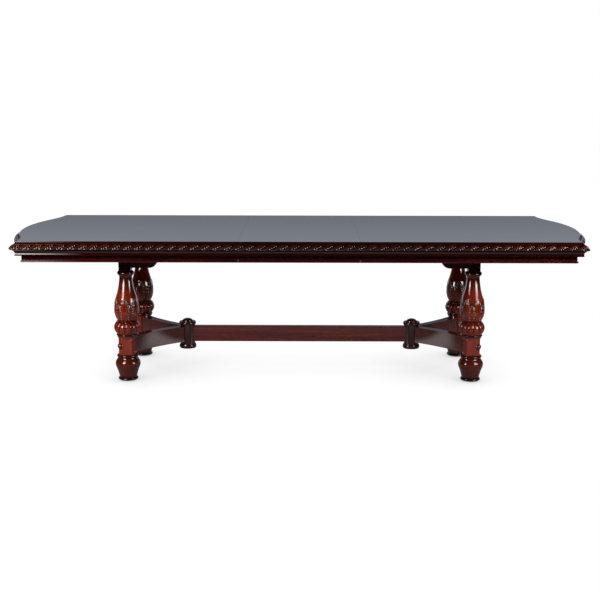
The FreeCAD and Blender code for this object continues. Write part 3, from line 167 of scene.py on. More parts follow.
def mahogany(name, dark, middle, light, axis, stripe_mm, coat_roughness=0.04, shade_by_height=None):
    """Red-brown wood with striped figure and pores, with glaze, painted shade and painted highlights in its
    carving, under a clear lacquer. shade_by_height is pairs of height in metres and share of light, for painted
    shade that darkens the wood at some heights."""
    material, tree = new_material(name)
    stripes = grain_mapping(tree, axis, stripe_mm, stripe_mm * STRIPE_LENGTH)
    figure = add_node(tree, "ShaderNodeTexNoise", {"Vector": stripes, "Scale": 1.0, "Detail": 5.0, "Roughness": 0.62,
                                                   "Distortion": 0.5})
    colours = add_node(tree, "ShaderNodeValToRGB", {"Fac": figure.outputs["Fac"]})
    fill_ramp(colours.color_ramp, zip(FIGURE_STOPS, map(linear, (dark, middle, light))))
    pores = add_node(tree, "ShaderNodeTexNoise", {"Vector": grain_mapping(tree, axis, PORE_WIDTH, PORE_LENGTH),
                                                  "Scale": 1.0, "Detail": 2.0, "Roughness": 0.5})
    pore_mask = add_node(tree, "ShaderNodeMapRange", {"Value": pores.outputs["Fac"], "From Min": PORE_FULL,
                                                      "From Max": PORE_NONE, "To Min": PORE_SHADE, "To Max": 1.0})
    colour = add_node(tree, "ShaderNodeMix", {"Factor": 1.0, "A": colours.outputs["Color"],
                                              "B": pore_mask.outputs["Result"]},
                      data_type="RGBA", blend_type="MULTIPLY").outputs["Result"]
    # glaze_and_shade mixes in a near-black for glaze and painted shade; painted_highlight mixes in a pale colour for
    # painted highlights.
    for attribute, tint in (("glaze_and_shade", GLAZE_AND_SHADE_COLOUR), ("painted_highlight", PAINTED_HIGHLIGHT_COLOUR)):
        share = add_node(tree, "ShaderNodeAttribute", {}, attribute_name=attribute)
        colour = add_node(tree, "ShaderNodeMix", {"Factor": share.outputs["Fac"], "A": colour, "B": linear(tint)},
                          data_type="RGBA").outputs["Result"]
    # Painted shade by height: a grey ramp over the height darkens the colour.
    if shade_by_height:
        height_shade = add_node(tree, "ShaderNodeValToRGB", {"Fac": object_place(tree)["Z"]})
        fill_ramp(height_shade.color_ramp, grey_stops(shade_by_height))
        colour = add_node(tree, "ShaderNodeMix", {"Factor": 1.0, "A": colour, "B": height_shade.outputs["Color"]},
                          data_type="RGBA", blend_type="MULTIPLY").outputs["Result"]
    bump = add_node(tree, "ShaderNodeBump", {"Strength": PORE_BUMP, "Distance": PORE_DEPTH * MM,
                                             "Height": pores.outputs["Fac"]})
    shader = add_node(tree, "ShaderNodeBsdfPrincipled", {
        "Base Color": colour, "Roughness": 0.4, "Specular IOR Level": 0.0, "Coat Weight": 1.0,
        "Coat Roughness": coat_roughness, "Coat IOR": LACQUER_IOR, "Normal": bump.outputs["Normal"]})
    add_node(tree, "ShaderNodeOutputMaterial", {"Surface": shader.outputs["BSDF"]})
    return material


# %% [markdown]
# A table like this is never one colour. The veneer of the top is browner than the solid wood, the mouldings are stained
# darker, the legs carry painted shade at the foot and at the top block, and the rails are a darker copy of the wood as
# painted shade. Each gets its own three colours, dark, middle and light, its grain direction and the width of its
# stripes in millimetres.

# %% Wood finishes
# Painted shade on the legs by height: dark at the foot, lighter up the vase, near black at the top block.
LEG_SHADE_BY_HEIGHT = ((0.0, 0.34), (0.122, 0.34), (0.145, 0.88), (0.3, 0.85), (0.4, 0.8), (0.5, 0.75), (0.57, 0.7),
              (0.6, 0.16))
top_finish = mahogany("mahogany_veneer_polished", "240c0a", "32110d", "43190f", "x", 26, 0.03)
moulding_finish = mahogany("mahogany_mouldings_lacquered", "1e0404", "2c0606", "400d0a", "x", 12)
apron_finish = mahogany("mahogany_aprons_lacquered", "2e080a", "420d10", "581414", "x", 12)
end_finish = mahogany("mahogany_end_mouldings_lacquered", "240505", "360809", "4a100d", "y", 12)
rope_finish = mahogany("mahogany_rope_glazed_and_shaded", "3c0c03", "561804", "742a08", "x", 16)
turned_finish = mahogany("mahogany_turnings_lacquered", "862410", "9c3012", "b24018", "z", 18, shade_by_height=LEG_SHADE_BY_HEIGHT)
arm_finish = mahogany("mahogany_arms_lacquered", "461814", "58201a", "6a2c24", "x", 16)
stretcher_finish = mahogany("mahogany_stretcher_lacquered", "481614", "5a1e1a", "6e2a24", "x", 16)
hub_finish = mahogany("mahogany_hubs_toned_dark", "2e1210", "3c1814", "4a201a", "z", 16)
cap_finish = mahogany("mahogany_caps_toned_dark", "521410", "641a14", "78241a", "z", 12)
# The rails get a darker copy of the wood, as painted shade under the top.
rail_shade_finish = mahogany("mahogany_rails_painted_shade", "541a16", "66241e", "782e26", "x", 16)
print("wood finishes:", [m.name for m in bpy.data.materials if m.name.startswith("mahogany")])

# %% [markdown]
# The parts that nobody sees at table are plain: pale poplar for the runners, blocks and cleats, zinc-plated steel
# for bolts and screws, cut brass and white nylon for the gear, black plastic for the glides. Some show when the table
# is pulled open, so none is one flat colour: a soft noise varies both the colour and the sheen.

# %% Hidden materials
SHEEN_CHANGE = 0.06


def plain_finish(name, dark, light, scale_mm, roughness, metallic=0.0, stretch=1):
    """A simple finish: two close colours in soft patches, with a little variation in its sheen."""
    material, tree = new_material(name)
    patches = add_node(tree, "ShaderNodeTexNoise", {"Vector": grain_mapping(tree, "x", scale_mm, scale_mm * stretch),
                                                    "Scale": 1.0, "Detail": 3.0})
    colours = add_node(tree, "ShaderNodeValToRGB", {"Fac": patches.outputs["Fac"]})
    fill_ramp(colours.color_ramp, [(0.35, linear(dark)), (0.65, linear(light))])
    sheen = add_node(tree, "ShaderNodeMapRange", {"Value": patches.outputs["Fac"], "To Min": roughness - SHEEN_CHANGE,
                                                  "To Max": roughness + SHEEN_CHANGE})
    shader = add_node(tree, "ShaderNodeBsdfPrincipled", {
        "Base Color": colours.outputs["Color"], "Roughness": sheen.outputs["Result"], "Metallic": metallic})
    add_node(tree, "ShaderNodeOutputMaterial", {"Surface": shader.outputs["BSDF"]})
    return material


# Planed and left bare: pale and matt, with soft streaks along the grain.
poplar = plain_finish("poplar_bare", "8f7350", "b0936c", 9, 0.6, stretch=20)
# Plated: a cool grey metal with a dull sheen.
steel = plain_finish("steel_zinc_plated", "8d9095", "a9acb0", 3, 0.34, metallic=1.0)
# Cut on a machine: a yellow metal, a little brighter than the steel.
brass = plain_finish("brass_machined", "b08a3c", "c9a457", 4, 0.3, metallic=1.0)
# Moulded without dye: creamy white and waxy.
nylon = plain_finish("nylon_natural", "d8d3c4", "e3dfd2", 6, 0.5)
# Moulded and dyed: nearly black, with a waxy sheen.
glide_black = plain_finish("polyethylene_black", "141212", "1c1a1a", 5, 0.45)
print("hidden finishes:", [finish.name for finish in (poplar, steel, brass, nylon, glide_black)])

# %% [markdown]
# Each CAD node takes the finish of its record slot, or one of its own where the photograph shows another tone. Long
# rails and mouldings have their grain along the table, the end pieces along its width, and the turned posts upright,
# as a joiner would cut them. A table of names does this more surely than picking each object by hand.

# %% Dress the CAD nodes
SLOT_FINISHES = {"polished_top": top_finish, "moulded_wood": moulding_finish, "turned_wood": turned_finish,
                 "plain_wood": poplar, "steel": steel, "gear_brass": brass, "gear_nylon": nylon,
                 "glide_plastic": glide_black}
OWN_FINISHES = {"apron_": apron_finish, "leg_bolt_caps": cap_finish, "arm_": arm_finish,
                "stretcher": stretcher_finish, "rail_": rail_shade_finish, "cross_rail_": rail_shade_finish}
slot_of = {entry["node"]: entry["material_slot"] for entry in frame["record"]["subparts"]}


def finish_of(node):
    """The finish for one CAD node."""
    if "_end_" in node:
        return end_finish
    for start, finish in OWN_FINISHES.items():
        if node.startswith(start):
            return finish
    return SLOT_FINISHES[slot_of[node]]


for name, node in nodes.items():
    node.data.materials.clear()
    node.data.materials.append(finish_of(name))
print("dressed", len(nodes), "nodes")

# %% [markdown]
# The camera stands where the photographer stood: a little above the table's height, almost six metres in front of
# its middle, looking slightly down. Its place and angles come from fitting the table's corners and feet. A camera can
# be aimed with a constraint, but a fit gives angles, so the three axes of the view go straight into its matrix.

# %% Camera
CAMERA_PLACE = Vector((0.02281, -5.90562, 1.52338))
CAMERA_PITCH = 0.19101
CAMERA_YAW = -0.00345
CAMERA_ROLL = 0.00187
FOCAL_PIXELS = 1082.78
IMAGE_PIXELS = 600
SENSOR_MM = 36.0

forward = Vector((math.sin(CAMERA_YAW) * math.cos(CAMERA_PITCH), math.cos(CAMERA_YAW) * math.cos(CAMERA_PITCH),
                  -math.sin(CAMERA_PITCH)))
level = Vector((math.cos(CAMERA_YAW), -math.sin(CAMERA_YAW), 0))
upright = level.cross(forward)
right = level * math.cos(CAMERA_ROLL) + upright * math.sin(CAMERA_ROLL)
up = upright * math.cos(CAMERA_ROLL) - level * math.sin(CAMERA_ROLL)
camera_data = bpy.data.cameras.new("camera")
camera_data.sensor_width = SENSOR_MM
camera_data.lens = FOCAL_PIXELS / IMAGE_PIXELS * SENSOR_MM
camera = bpy.data.objects.new("camera", camera_data)
bpy.context.scene.collection.objects.link(camera)
camera.matrix_world = Matrix((right, up, -forward)).transposed().to_4x4()
camera.matrix_world.translation = CAMERA_PLACE
bpy.context.scene.camera = camera
print("lens %.1f mm" % camera_data.lens)

# %% [markdown]
# The studio is white to the eye. A glossy table mirrors all that stands round it, though, and an all-white room would
# lay a pale veil over dark wood. So the world is split by the kind of ray: the camera sees white, and everything else
# gets a dim, slightly cool light. A photographer does the same with black flags.

# %% World
AMBIENT_COLOUR, AMBIENT_STRENGTH = "f4f6fa", 0.05
scene = bpy.context.scene
scene.view_settings.view_transform = "Standard"
world = bpy.data.worlds.new("white_studio")
scene.world = world
world.use_nodes = True
sky = world.node_tree
sky.nodes.clear()
path = add_node(sky, "ShaderNodeLightPath", {})
ambient = add_node(sky, "ShaderNodeBackground", {"Color": linear(AMBIENT_COLOUR), "Strength": AMBIENT_STRENGTH})
white = add_node(sky, "ShaderNodeBackground", {"Color": (1, 1, 1, 1), "Strength": 1.0})
seen = add_node(sky, "ShaderNodeMixShader", {0: path.outputs["Is Camera Ray"], 1: ambient.outputs["Background"],
                                             2: white.outputs["Background"]})
add_node(sky, "ShaderNodeOutputWorld", {"Surface": seen.outputs["Shader"]})
print("world:", world.name, "ambient", AMBIENT_STRENGTH)

# %% [markdown]
# The floor, the wall and the cloths are flat planes that stand round the table and are not part of it. Where one ends,
# its light fades out, because a hard edge would show as a line in the polish. The fade could be painted in an image,
# but two nodes do it at any size.

# %% Planes of the studio
def stage_plane(name, corners, material):
    """A flat piece of the studio, not part of the table."""
    mesh = bpy.data.meshes.new(name)
    mesh.from_pydata(corners, [], [tuple(range(len(corners)))])
    mesh.materials.append(material)
    plane = bpy.data.objects.new(name, mesh)
    scene.collection.objects.link(plane)
    return plane


def fade_aside(tree, across, full_reach, far_reach, inside, outside):
    """A value that holds up to one distance from the middle and has faded to another at a second distance."""
    aside = add_node(tree, "ShaderNodeMath", {0: across}, operation="ABSOLUTE")
    fading = add_node(tree, "ShaderNodeMapRange", {"Value": aside.outputs["Value"], "From Min": full_reach,
                                                   "From Max": far_reach, "To Min": inside, "To Max": outside},
                      interpolation_type="SMOOTHSTEP")
    return fading.outputs["Result"]


# %% [markdown]
# The floor is white paper. To the camera it is white with a soft shadow at the feet, where ambient occlusion finds
# something close above it. Polish sees it lit in bands instead, from a bright one in front of the table to a dimmer
# one under it, and in one long patch in front of the stretcher. Lamps and flags could make such bands too, but a ramp
# over the distance is quicker to match. The bands fade out at both sides, so no hard edge shows in the wood.

# %% Floor
FLOOR_REACH = 40.0
FLOOR_STEPS = ((-2.6, 0.02), (-2.0, 0.05), (-1.4, 0.5), (-1.1, 0.5), (-0.8, 0.25), (0.5, 0.25), (2.0, 0.4),
               (4.0, 0.4))
FLOOR_FULL_REACH, FLOOR_FAR_REACH, FLOOR_FAR_LEVEL = 1.35, 2.7, 0.05
LIT_PATCH_PLACE = (0, -0.25, 0)
LIT_PATCH_SIZE = (0.6, 0.08, 1)
LIT_PATCH_CORE, LIT_PATCH_LEVEL = 0.2, 1.7
PAPER_COLOUR = "b8b8b8"
SHADOW_REACH, SHADOW_DARKEST, SHADOW_LIGHTEST, SHADOW_SAMPLES = 0.5, 0.5, 1.25, 12
WHITE_SHARE = 0.8


def floor_finish():
    """White paper with a faint shadow to the camera, and lit in bands and a patch to polish."""
    material, tree = new_material("floor_white_paper")
    light_path = add_node(tree, "ShaderNodeLightPath", {})
    coordinates = add_node(tree, "ShaderNodeTexCoord", {})
    place = object_place(tree)
    near, far = FLOOR_STEPS[0][0], FLOOR_STEPS[-1][0]
    share = add_node(tree, "ShaderNodeMapRange", {"Value": place["Y"], "From Min": near, "From Max": far})
    bands = add_node(tree, "ShaderNodeValToRGB", {"Fac": share.outputs["Result"]})
    fill_ramp(bands.color_ramp, grey_stops(FLOOR_STEPS, near, far))
    fading = fade_aside(tree, place["X"], FLOOR_FULL_REACH, FLOOR_FAR_REACH, 1.0, FLOOR_FAR_LEVEL)
    patch = add_node(tree, "ShaderNodeMapping", {"Vector": coordinates.outputs["Object"], "Location": LIT_PATCH_PLACE,
                                                 "Scale": LIT_PATCH_SIZE}, vector_type="TEXTURE")
    distance = add_node(tree, "ShaderNodeVectorMath", {0: patch.outputs["Vector"]}, operation="LENGTH")
    lit = add_node(tree, "ShaderNodeMapRange", {"Value": distance.outputs["Value"], "From Min": LIT_PATCH_CORE,
                                                "From Max": 1.0, "To Min": LIT_PATCH_LEVEL, "To Max": 0.0},
                   interpolation_type="SMOOTHSTEP")
    brightness = add_node(tree, "ShaderNodeMath", {0: bands.outputs["Color"], 1: fading, 2: lit.outputs["Result"]},
                          operation="MULTIPLY_ADD")
    matt = add_node(tree, "ShaderNodeBsdfDiffuse", {"Color": linear(PAPER_COLOUR)})
    nearness = add_node(tree, "ShaderNodeAmbientOcclusion", {"Distance": SHADOW_REACH}, samples=SHADOW_SAMPLES)
    shadow = add_node(tree, "ShaderNodeMapRange", {"Value": nearness.outputs["AO"], "To Min": SHADOW_DARKEST,
                                                   "To Max": SHADOW_LIGHTEST})
    shaded = add_node(tree, "ShaderNodeEmission", {"Color": (1, 1, 1, 1), "Strength": shadow.outputs["Result"]})
    banded = add_node(tree, "ShaderNodeEmission", {"Color": (1, 1, 1, 1), "Strength": brightness.outputs["Value"]})
    to_camera = add_node(tree, "ShaderNodeMixShader", {0: WHITE_SHARE, 1: matt.outputs["BSDF"],
                                                       2: shaded.outputs["Emission"]})
    to_others = add_node(tree, "ShaderNodeMixShader", {0: light_path.outputs["Is Glossy Ray"], 1: matt.outputs["BSDF"],
                                                       2: banded.outputs["Emission"]})
    paper = add_node(tree, "ShaderNodeMixShader", {0: light_path.outputs["Is Camera Ray"],
                                                   1: to_others.outputs["Shader"], 2: to_camera.outputs["Shader"]})
    add_node(tree, "ShaderNodeOutputMaterial", {"Surface": paper.outputs["Shader"]})
    return material


stage_plane("floor", [(-FLOOR_REACH, -FLOOR_REACH, 0), (FLOOR_REACH, -FLOOR_REACH, 0), (FLOOR_REACH, FLOOR_REACH, 0),
                      (-FLOOR_REACH, FLOOR_REACH, 0)], floor_finish())
print("floor bands at", [place for place, light in FLOOR_STEPS])

# %% [markdown]
# Seen at a low angle, a polished top is a mirror: what looks like a grey top is a grey wall behind the table. The wall
# is darker just above the height of the top and lighter further up, which gives the top its gradient from back to
# front. Its lowest part is bright and shows in the pieces under the top. Only reflections see the wall, so the
# background stays white.

# %% Grey wall
WALL_DISTANCE = 3.6
WALL_REACH, WALL_FULL_REACH = 5.0, 2.5
WALL_STEPS = ((0.0, 1.4), (0.45, 1.4), (0.6, 0.03), (0.85, 0.03), (1.12, 0.33), (1.38, 0.53), (2.4, 0.58),
              (5.0, 0.05))
WALL_TINT = "e5f0ff"


def wall_finish(name, steps, full_reach, far_reach):
    """A wall whose light changes with its height: steps are pairs of height in metres and brightness. The light fades
    out between two distances from the wall's middle."""
    material, tree = new_material(name)
    place = object_place(tree)
    top_height = steps[-1][0]
    share = add_node(tree, "ShaderNodeMath", {0: place["Z"], 1: top_height}, operation="DIVIDE")
    ramp = add_node(tree, "ShaderNodeValToRGB", {"Fac": share.outputs["Value"]})
    fill_ramp(ramp.color_ramp, grey_stops(steps, 0.0, top_height))
    tint = add_node(tree, "ShaderNodeMix", {"Factor": 1.0, "A": ramp.outputs["Color"], "B": linear(WALL_TINT)},
                    data_type="RGBA", blend_type="MULTIPLY")
    fading = fade_aside(tree, place["X"], full_reach, far_reach, 1.0, 0.0)
    glow = add_node(tree, "ShaderNodeEmission", {"Color": tint.outputs["Result"], "Strength": fading})
    add_node(tree, "ShaderNodeOutputMaterial", {"Surface": glow.outputs["Emission"]})
    return material


def polish_only(plane):
    """Hides a piece of the studio from all but reflections."""
    plane.visible_camera = False
    plane.visible_diffuse = False
    plane.visible_shadow = False


def mirrored_wall(name, distance, reach, low, high, material):
    """A wall across the studio that only reflections see."""
    wall = stage_plane(name, [(-reach, distance, low), (reach, distance, low), (reach, distance, high),
                              (-reach, distance, high)], material)
    polish_only(wall)


mirrored_wall("grey_wall", WALL_DISTANCE, WALL_REACH, 0, WALL_STEPS[-1][0],
              wall_finish("wall_grey", WALL_STEPS, WALL_FULL_REACH, WALL_REACH))
print("grey wall %.1f m behind the middle" % WALL_DISTANCE)

# %% [markdown]
# The bright upright streaks on the legs are two tall lit cloths, one on each side in front of the table. An area lamp
# would show in the polish as a hard rectangle, so each cloth is a glowing plane that fades to its sides and is
# brightest low down, where its lamp stands.

# %% Lit cloths
CLOTH_STEPS = ((0.5, 0.0), (0.7, 1.0), (0.9, 1.0), (1.15, 0.5), (2.3, 0.5), (2.6, 0.0))
CLOTH_LOW, CLOTH_HIGH = CLOTH_STEPS[0][0], CLOTH_STEPS[-1][0]
CLOTH_MIDDLE = (CLOTH_LOW + CLOTH_HIGH) / 2
CLOTH_CORE = 0.1


def cloth_finish(name, half_width, radiance):
    """Lit white cloth, brightest along its middle and low down."""
    material, tree = new_material(name)
    place = object_place(tree)
    share = add_node(tree, "ShaderNodeMapRange", {"Value": place["Y"], "From Min": CLOTH_LOW - CLOTH_MIDDLE,
                                                  "From Max": CLOTH_HIGH - CLOTH_MIDDLE})
    by_height = add_node(tree, "ShaderNodeValToRGB", {"Fac": share.outputs["Result"]})
    fill_ramp(by_height.color_ramp, grey_stops(CLOTH_STEPS, CLOTH_LOW, CLOTH_HIGH))
    fading = fade_aside(tree, place["X"], half_width * CLOTH_CORE, half_width, radiance, 0.0)
    glow = add_node(tree, "ShaderNodeEmission", {"Color": by_height.outputs["Color"], "Strength": fading})
    add_node(tree, "ShaderNodeOutputMaterial", {"Surface": glow.outputs["Emission"]})
    return material


def lit_cloth(side, place, aim, width, radiance):
    """A tall lit cloth at a place, turned to face an aim, that only reflections see."""
    start, target = Vector((*place, CLOTH_MIDDLE)), Vector((*aim, CLOTH_MIDDLE))
    half_width, half_height = width / 2, (CLOTH_HIGH - CLOTH_LOW) / 2
    cloth = stage_plane("cloth_" + side, [(-half_width, -half_height, 0), (half_width, -half_height, 0),
                                          (half_width, half_height, 0), (-half_width, half_height, 0)],
                        cloth_finish("cloth_" + side, half_width, radiance))
    cloth.matrix_world = Matrix.Translation(start) @ (target - start).to_track_quat("-Z", "Y").to_matrix().to_4x4()
    polish_only(cloth)
    print("cloth", side, "%.2f m from the middle" % start.length)


lit_cloth("left", (-1.93, -2.0), (-0.2, 0.0), 1.3, 28.0)
lit_cloth("right", (2.62, -1.95), (0.2, 0.0), 2.2, 18.0)

# %% [markdown]
# The colour of the wood itself comes from soft lamps with a grid, which narrows their beams to the two pedestals. Two
# stand in front, two behind, and a weak one low in front reaches under the table. They light the wood and are not
# mirrored in it, so colour and gloss can be set apart from each other.

# %% Lamps
LAMP_WIDTH, LAMP_HEIGHT = 0.8, 0.5
KEY_SPREAD, FILL_SPREAD = 75, 26


def beam_lamp(name, place, aim, spread, energy):
    """A soft lamp with a grid that narrows its beam, in degrees."""
    lamp = bpy.data.lights.new(name, "AREA")
    lamp.shape = "RECTANGLE"
    lamp.size = LAMP_WIDTH
    lamp.size_y = LAMP_HEIGHT
    lamp.spread = math.radians(spread)
    lamp.energy = energy
    box = bpy.data.objects.new(name, lamp)
    scene.collection.objects.link(box)
    box.location = place
    box.rotation_euler = (Vector(aim) - Vector(place)).to_track_quat("-Z", "Y").to_euler()
    box.visible_glossy = False


beam_lamp("key_left", (-2.4, -2.0, 1.6), (-1.05, -0.42, 0.5), KEY_SPREAD, 9.5)
beam_lamp("key_right", (2.4, -2.0, 1.6), (1.05, -0.42, 0.5), KEY_SPREAD, 7.5)
beam_lamp("low_fill", (0.0, -3.2, 0.3), (0.0, 0.0, 0.15), FILL_SPREAD, 0.35)
beam_lamp("back_left", (-2.4, 2.6, 1.6), (-1.0, 0.42, 0.5), KEY_SPREAD, 7.5)
beam_lamp("back_right", (2.4, 2.6, 1.6), (1.0, 0.42, 0.5), KEY_SPREAD, 7.5)
print("studio lamps:", [lamp.name for lamp in bpy.data.lights])

# %% [markdown]
# Seen from behind, the top would mirror the two cloths as white patches. A dark screen stands between them and the
# table, above the height of the top: the legs, which are lower, still see the cloths under it.

# %% Dark screen
SCREEN_REACH, SCREEN_DISTANCE, SCREEN_LOW, SCREEN_HIGH = 4.5, 1.0, 0.88, 2.6
SCREEN_LEVEL = 0.03
mirrored_wall("dark_screen", -SCREEN_DISTANCE, SCREEN_REACH, SCREEN_LOW, SCREEN_HIGH,
              wall_finish("screen_black", ((0.0, SCREEN_LEVEL), (SCREEN_HIGH, SCREEN_LEVEL)), SCREEN_REACH / 2,
                          SCREEN_REACH))
print("dark screen from %.2f m to %.2f m" % (SCREEN_LOW, SCREEN_HIGH))

# %% [markdown]
# A helper makes an object of the table from a bmesh: it turns every face outward, shades it smooth with sharp creases
# and large flat faces kept, and hands it to the body it moves with. Every piece below ends in it, so none can be left
# without a body, a slot or a finish.

# %% Making a finished piece
CREASE_ANGLE = math.radians(38)
FLAT_FACE_AREA = 0.0006


def finished_piece(name, bm, body, material, replaced):
    """Makes one object from a bmesh, gives it its body and hides the nodes that it stands for."""
    bmesh.ops.recalc_face_normals(bm, faces=bm.faces)
    mesh = bpy.data.meshes.new(name)
    bm.to_mesh(mesh)
    bm.free()
    mesh.shade_smooth()
    mesh.set_sharp_from_angle(angle=CREASE_ANGLE)
    for face in mesh.polygons:
        face.use_smooth = face.area < FLAT_FACE_AREA
    mesh.materials.clear()
    mesh.materials.append(material)
    mesh.polygons.foreach_set("material_index", [0] * len(mesh.polygons))
    piece = bpy.data.objects.new(name, mesh)
    scene.collection.objects.link(piece)
    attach(piece, body)
    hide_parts(*replaced)
    print(name, "faces:", len(mesh.polygons))


# %% [markdown]
# The edge of the top carries a carved rope: fat slanted lobes, and in each valley between two lobes a row of beads
# that grow towards the widest place. A carver cuts it with gouges from a moulded strip. One strand is modelled once,
# as a closed section swept over one pitch, and the beads are set in its first valley. Bump in a material could hint
# at lobes, but not at their outline against a white background, so they are real shapes.

# %% One strand of the rope
ROPE_LOBES_ON_LEAF = 11
rope_pitch = leaf_length / ROPE_LOBES_ON_LEAF
ROPE_FACE = [(14.3, 14.6), (16.2, 18.4), (19.4, 22.8), (23.4, 26.6), (27.6, 29.2), (32.0, 30.4), (35.6, 29.8),
             (38.8, 27.4), (40.8, 24.0), (41.9, 19.0)]
ROPE_BACK = 12.1
ROPE_WIDE_DROP = 32.0
ROPE_SLANT = 2.3
ROPE_DEPTHS = ((14.0, 2.0), (30.0, 6.5), (38.0, 6.0), (42.0, 3.0))
ROPE_LOBE_SHARE = 0.70
ROPE_BEADS = ((35.2, 4.4), (30.2, 4.1), (25.6, 3.7), (21.4, 3.2))
STRAND_COLUMNS = 24
# Glaze and painted shade in the valleys; painted shade on the whole bead and a painted highlight on its upper, outer
# side.
VALLEY_SHADE_AND_GLAZE, BEAD_PAINTED_SHADE, BEAD_PAINTED_HIGHLIGHT = 1.6, 0.9, 0.62
BEAD_SEAT = 0.15
face_drops = [drop for drop, reach in ROPE_FACE]
face_reaches = [reach for drop, reach in ROPE_FACE]


def lobe_valley(along, drop):
    """0 on the crest of a lobe and 1 in a valley."""
    phase = ((along - (ROPE_WIDE_DROP - drop) * ROPE_SLANT) / (rope_pitch / MM)) % 1.0
    aside = min(abs(2 * phase - 1) / ROPE_LOBE_SHARE, 1.0)
    return 1 - math.sqrt(1 - aside ** 2)


def lobe_reach(along, drop):
    """How far the rope stands out at one place, in millimetres: full on a lobe, less in a valley."""
    crest = np.interp(drop, face_drops, face_reaches)
    return crest - lobe_valley(along, drop) * np.interp(drop, *zip(*ROPE_DEPTHS))


def strand_mesh():
    """One pitch of rope with x along it, y outward and z up from the top, open at both ends to be joined."""
    bm = bmesh.new()
    glaze_and_shade = bm.verts.layers.float.new("glaze_and_shade")
    painted_highlight = bm.verts.layers.float.new("painted_highlight")
    columns = []
    for column in range(STRAND_COLUMNS + 1):
        along = column / STRAND_COLUMNS * rope_pitch / MM
        section = [(lobe_reach(along, drop), drop) for drop in face_drops]
        section += [(ROPE_BACK, face_drops[-1]), (ROPE_BACK, face_drops[0])]
        columns.append([bm.verts.new((along * MM, reach * MM, -drop * MM)) for reach, drop in section])
        for vertex, (reach, drop) in zip(columns[-1], section):
            # Glaze and painted shade in the valleys between the lobes.
            vertex[glaze_and_shade] = min(lobe_valley(along, drop) * VALLEY_SHADE_AND_GLAZE, 1.0)
    for first, second in zip(columns, columns[1:]):
        for row in range(len(first)):
            after = (row + 1) % len(first)
            bm.faces.new((first[row], first[after], second[after], second[row]))
    for drop, radius in ROPE_BEADS:
        along = (ROPE_WIDE_DROP - drop) * ROPE_SLANT
        reach = lobe_reach(along, drop) + BEAD_SEAT * radius
        place = Matrix.Translation((along * MM, reach * MM, -drop * MM))
        bead = bmesh.ops.create_uvsphere(bm, u_segments=8, v_segments=6, radius=radius * MM, matrix=place)
        for vertex in bead["verts"]:
            lift = (vertex.co.z + drop * MM) / (radius * MM)
            outward = (vertex.co.y - reach * MM) / (radius * MM)
            # Painted shade all over the bead, and a painted highlight towards its top and outer side.
            vertex[glaze_and_shade] = BEAD_PAINTED_SHADE
            vertex[painted_highlight] = BEAD_PAINTED_HIGHLIGHT * min(max(1.2 * outward + 0.5 * lift - 0.25, 0), 1)
    mesh = bpy.data.meshes.new("rope_strand")
    bm.to_mesh(mesh)
    bm.free()
    return mesh


strand = bpy.data.objects.new("rope_strand", strand_mesh())
print("one strand:", len(strand.data.polygons), "faces, pitch %.1f mm" % (rope_pitch / MM))

# %% [markdown]
# The rope follows the edge of the top, so a node tree lays it: strands are lined up along a straight line, welded,
# and then each point is moved to the path, with its length along the path from x, its distance outward from y and
# its height from z. An array with a curve modifier would bend it in the same way, but a tree keeps the path, the number
# of strands and their start as named inputs, so one tree lays all the runs.

# %% Node tree that lays strands along a path
WELD_DISTANCE = 0.02 * MM


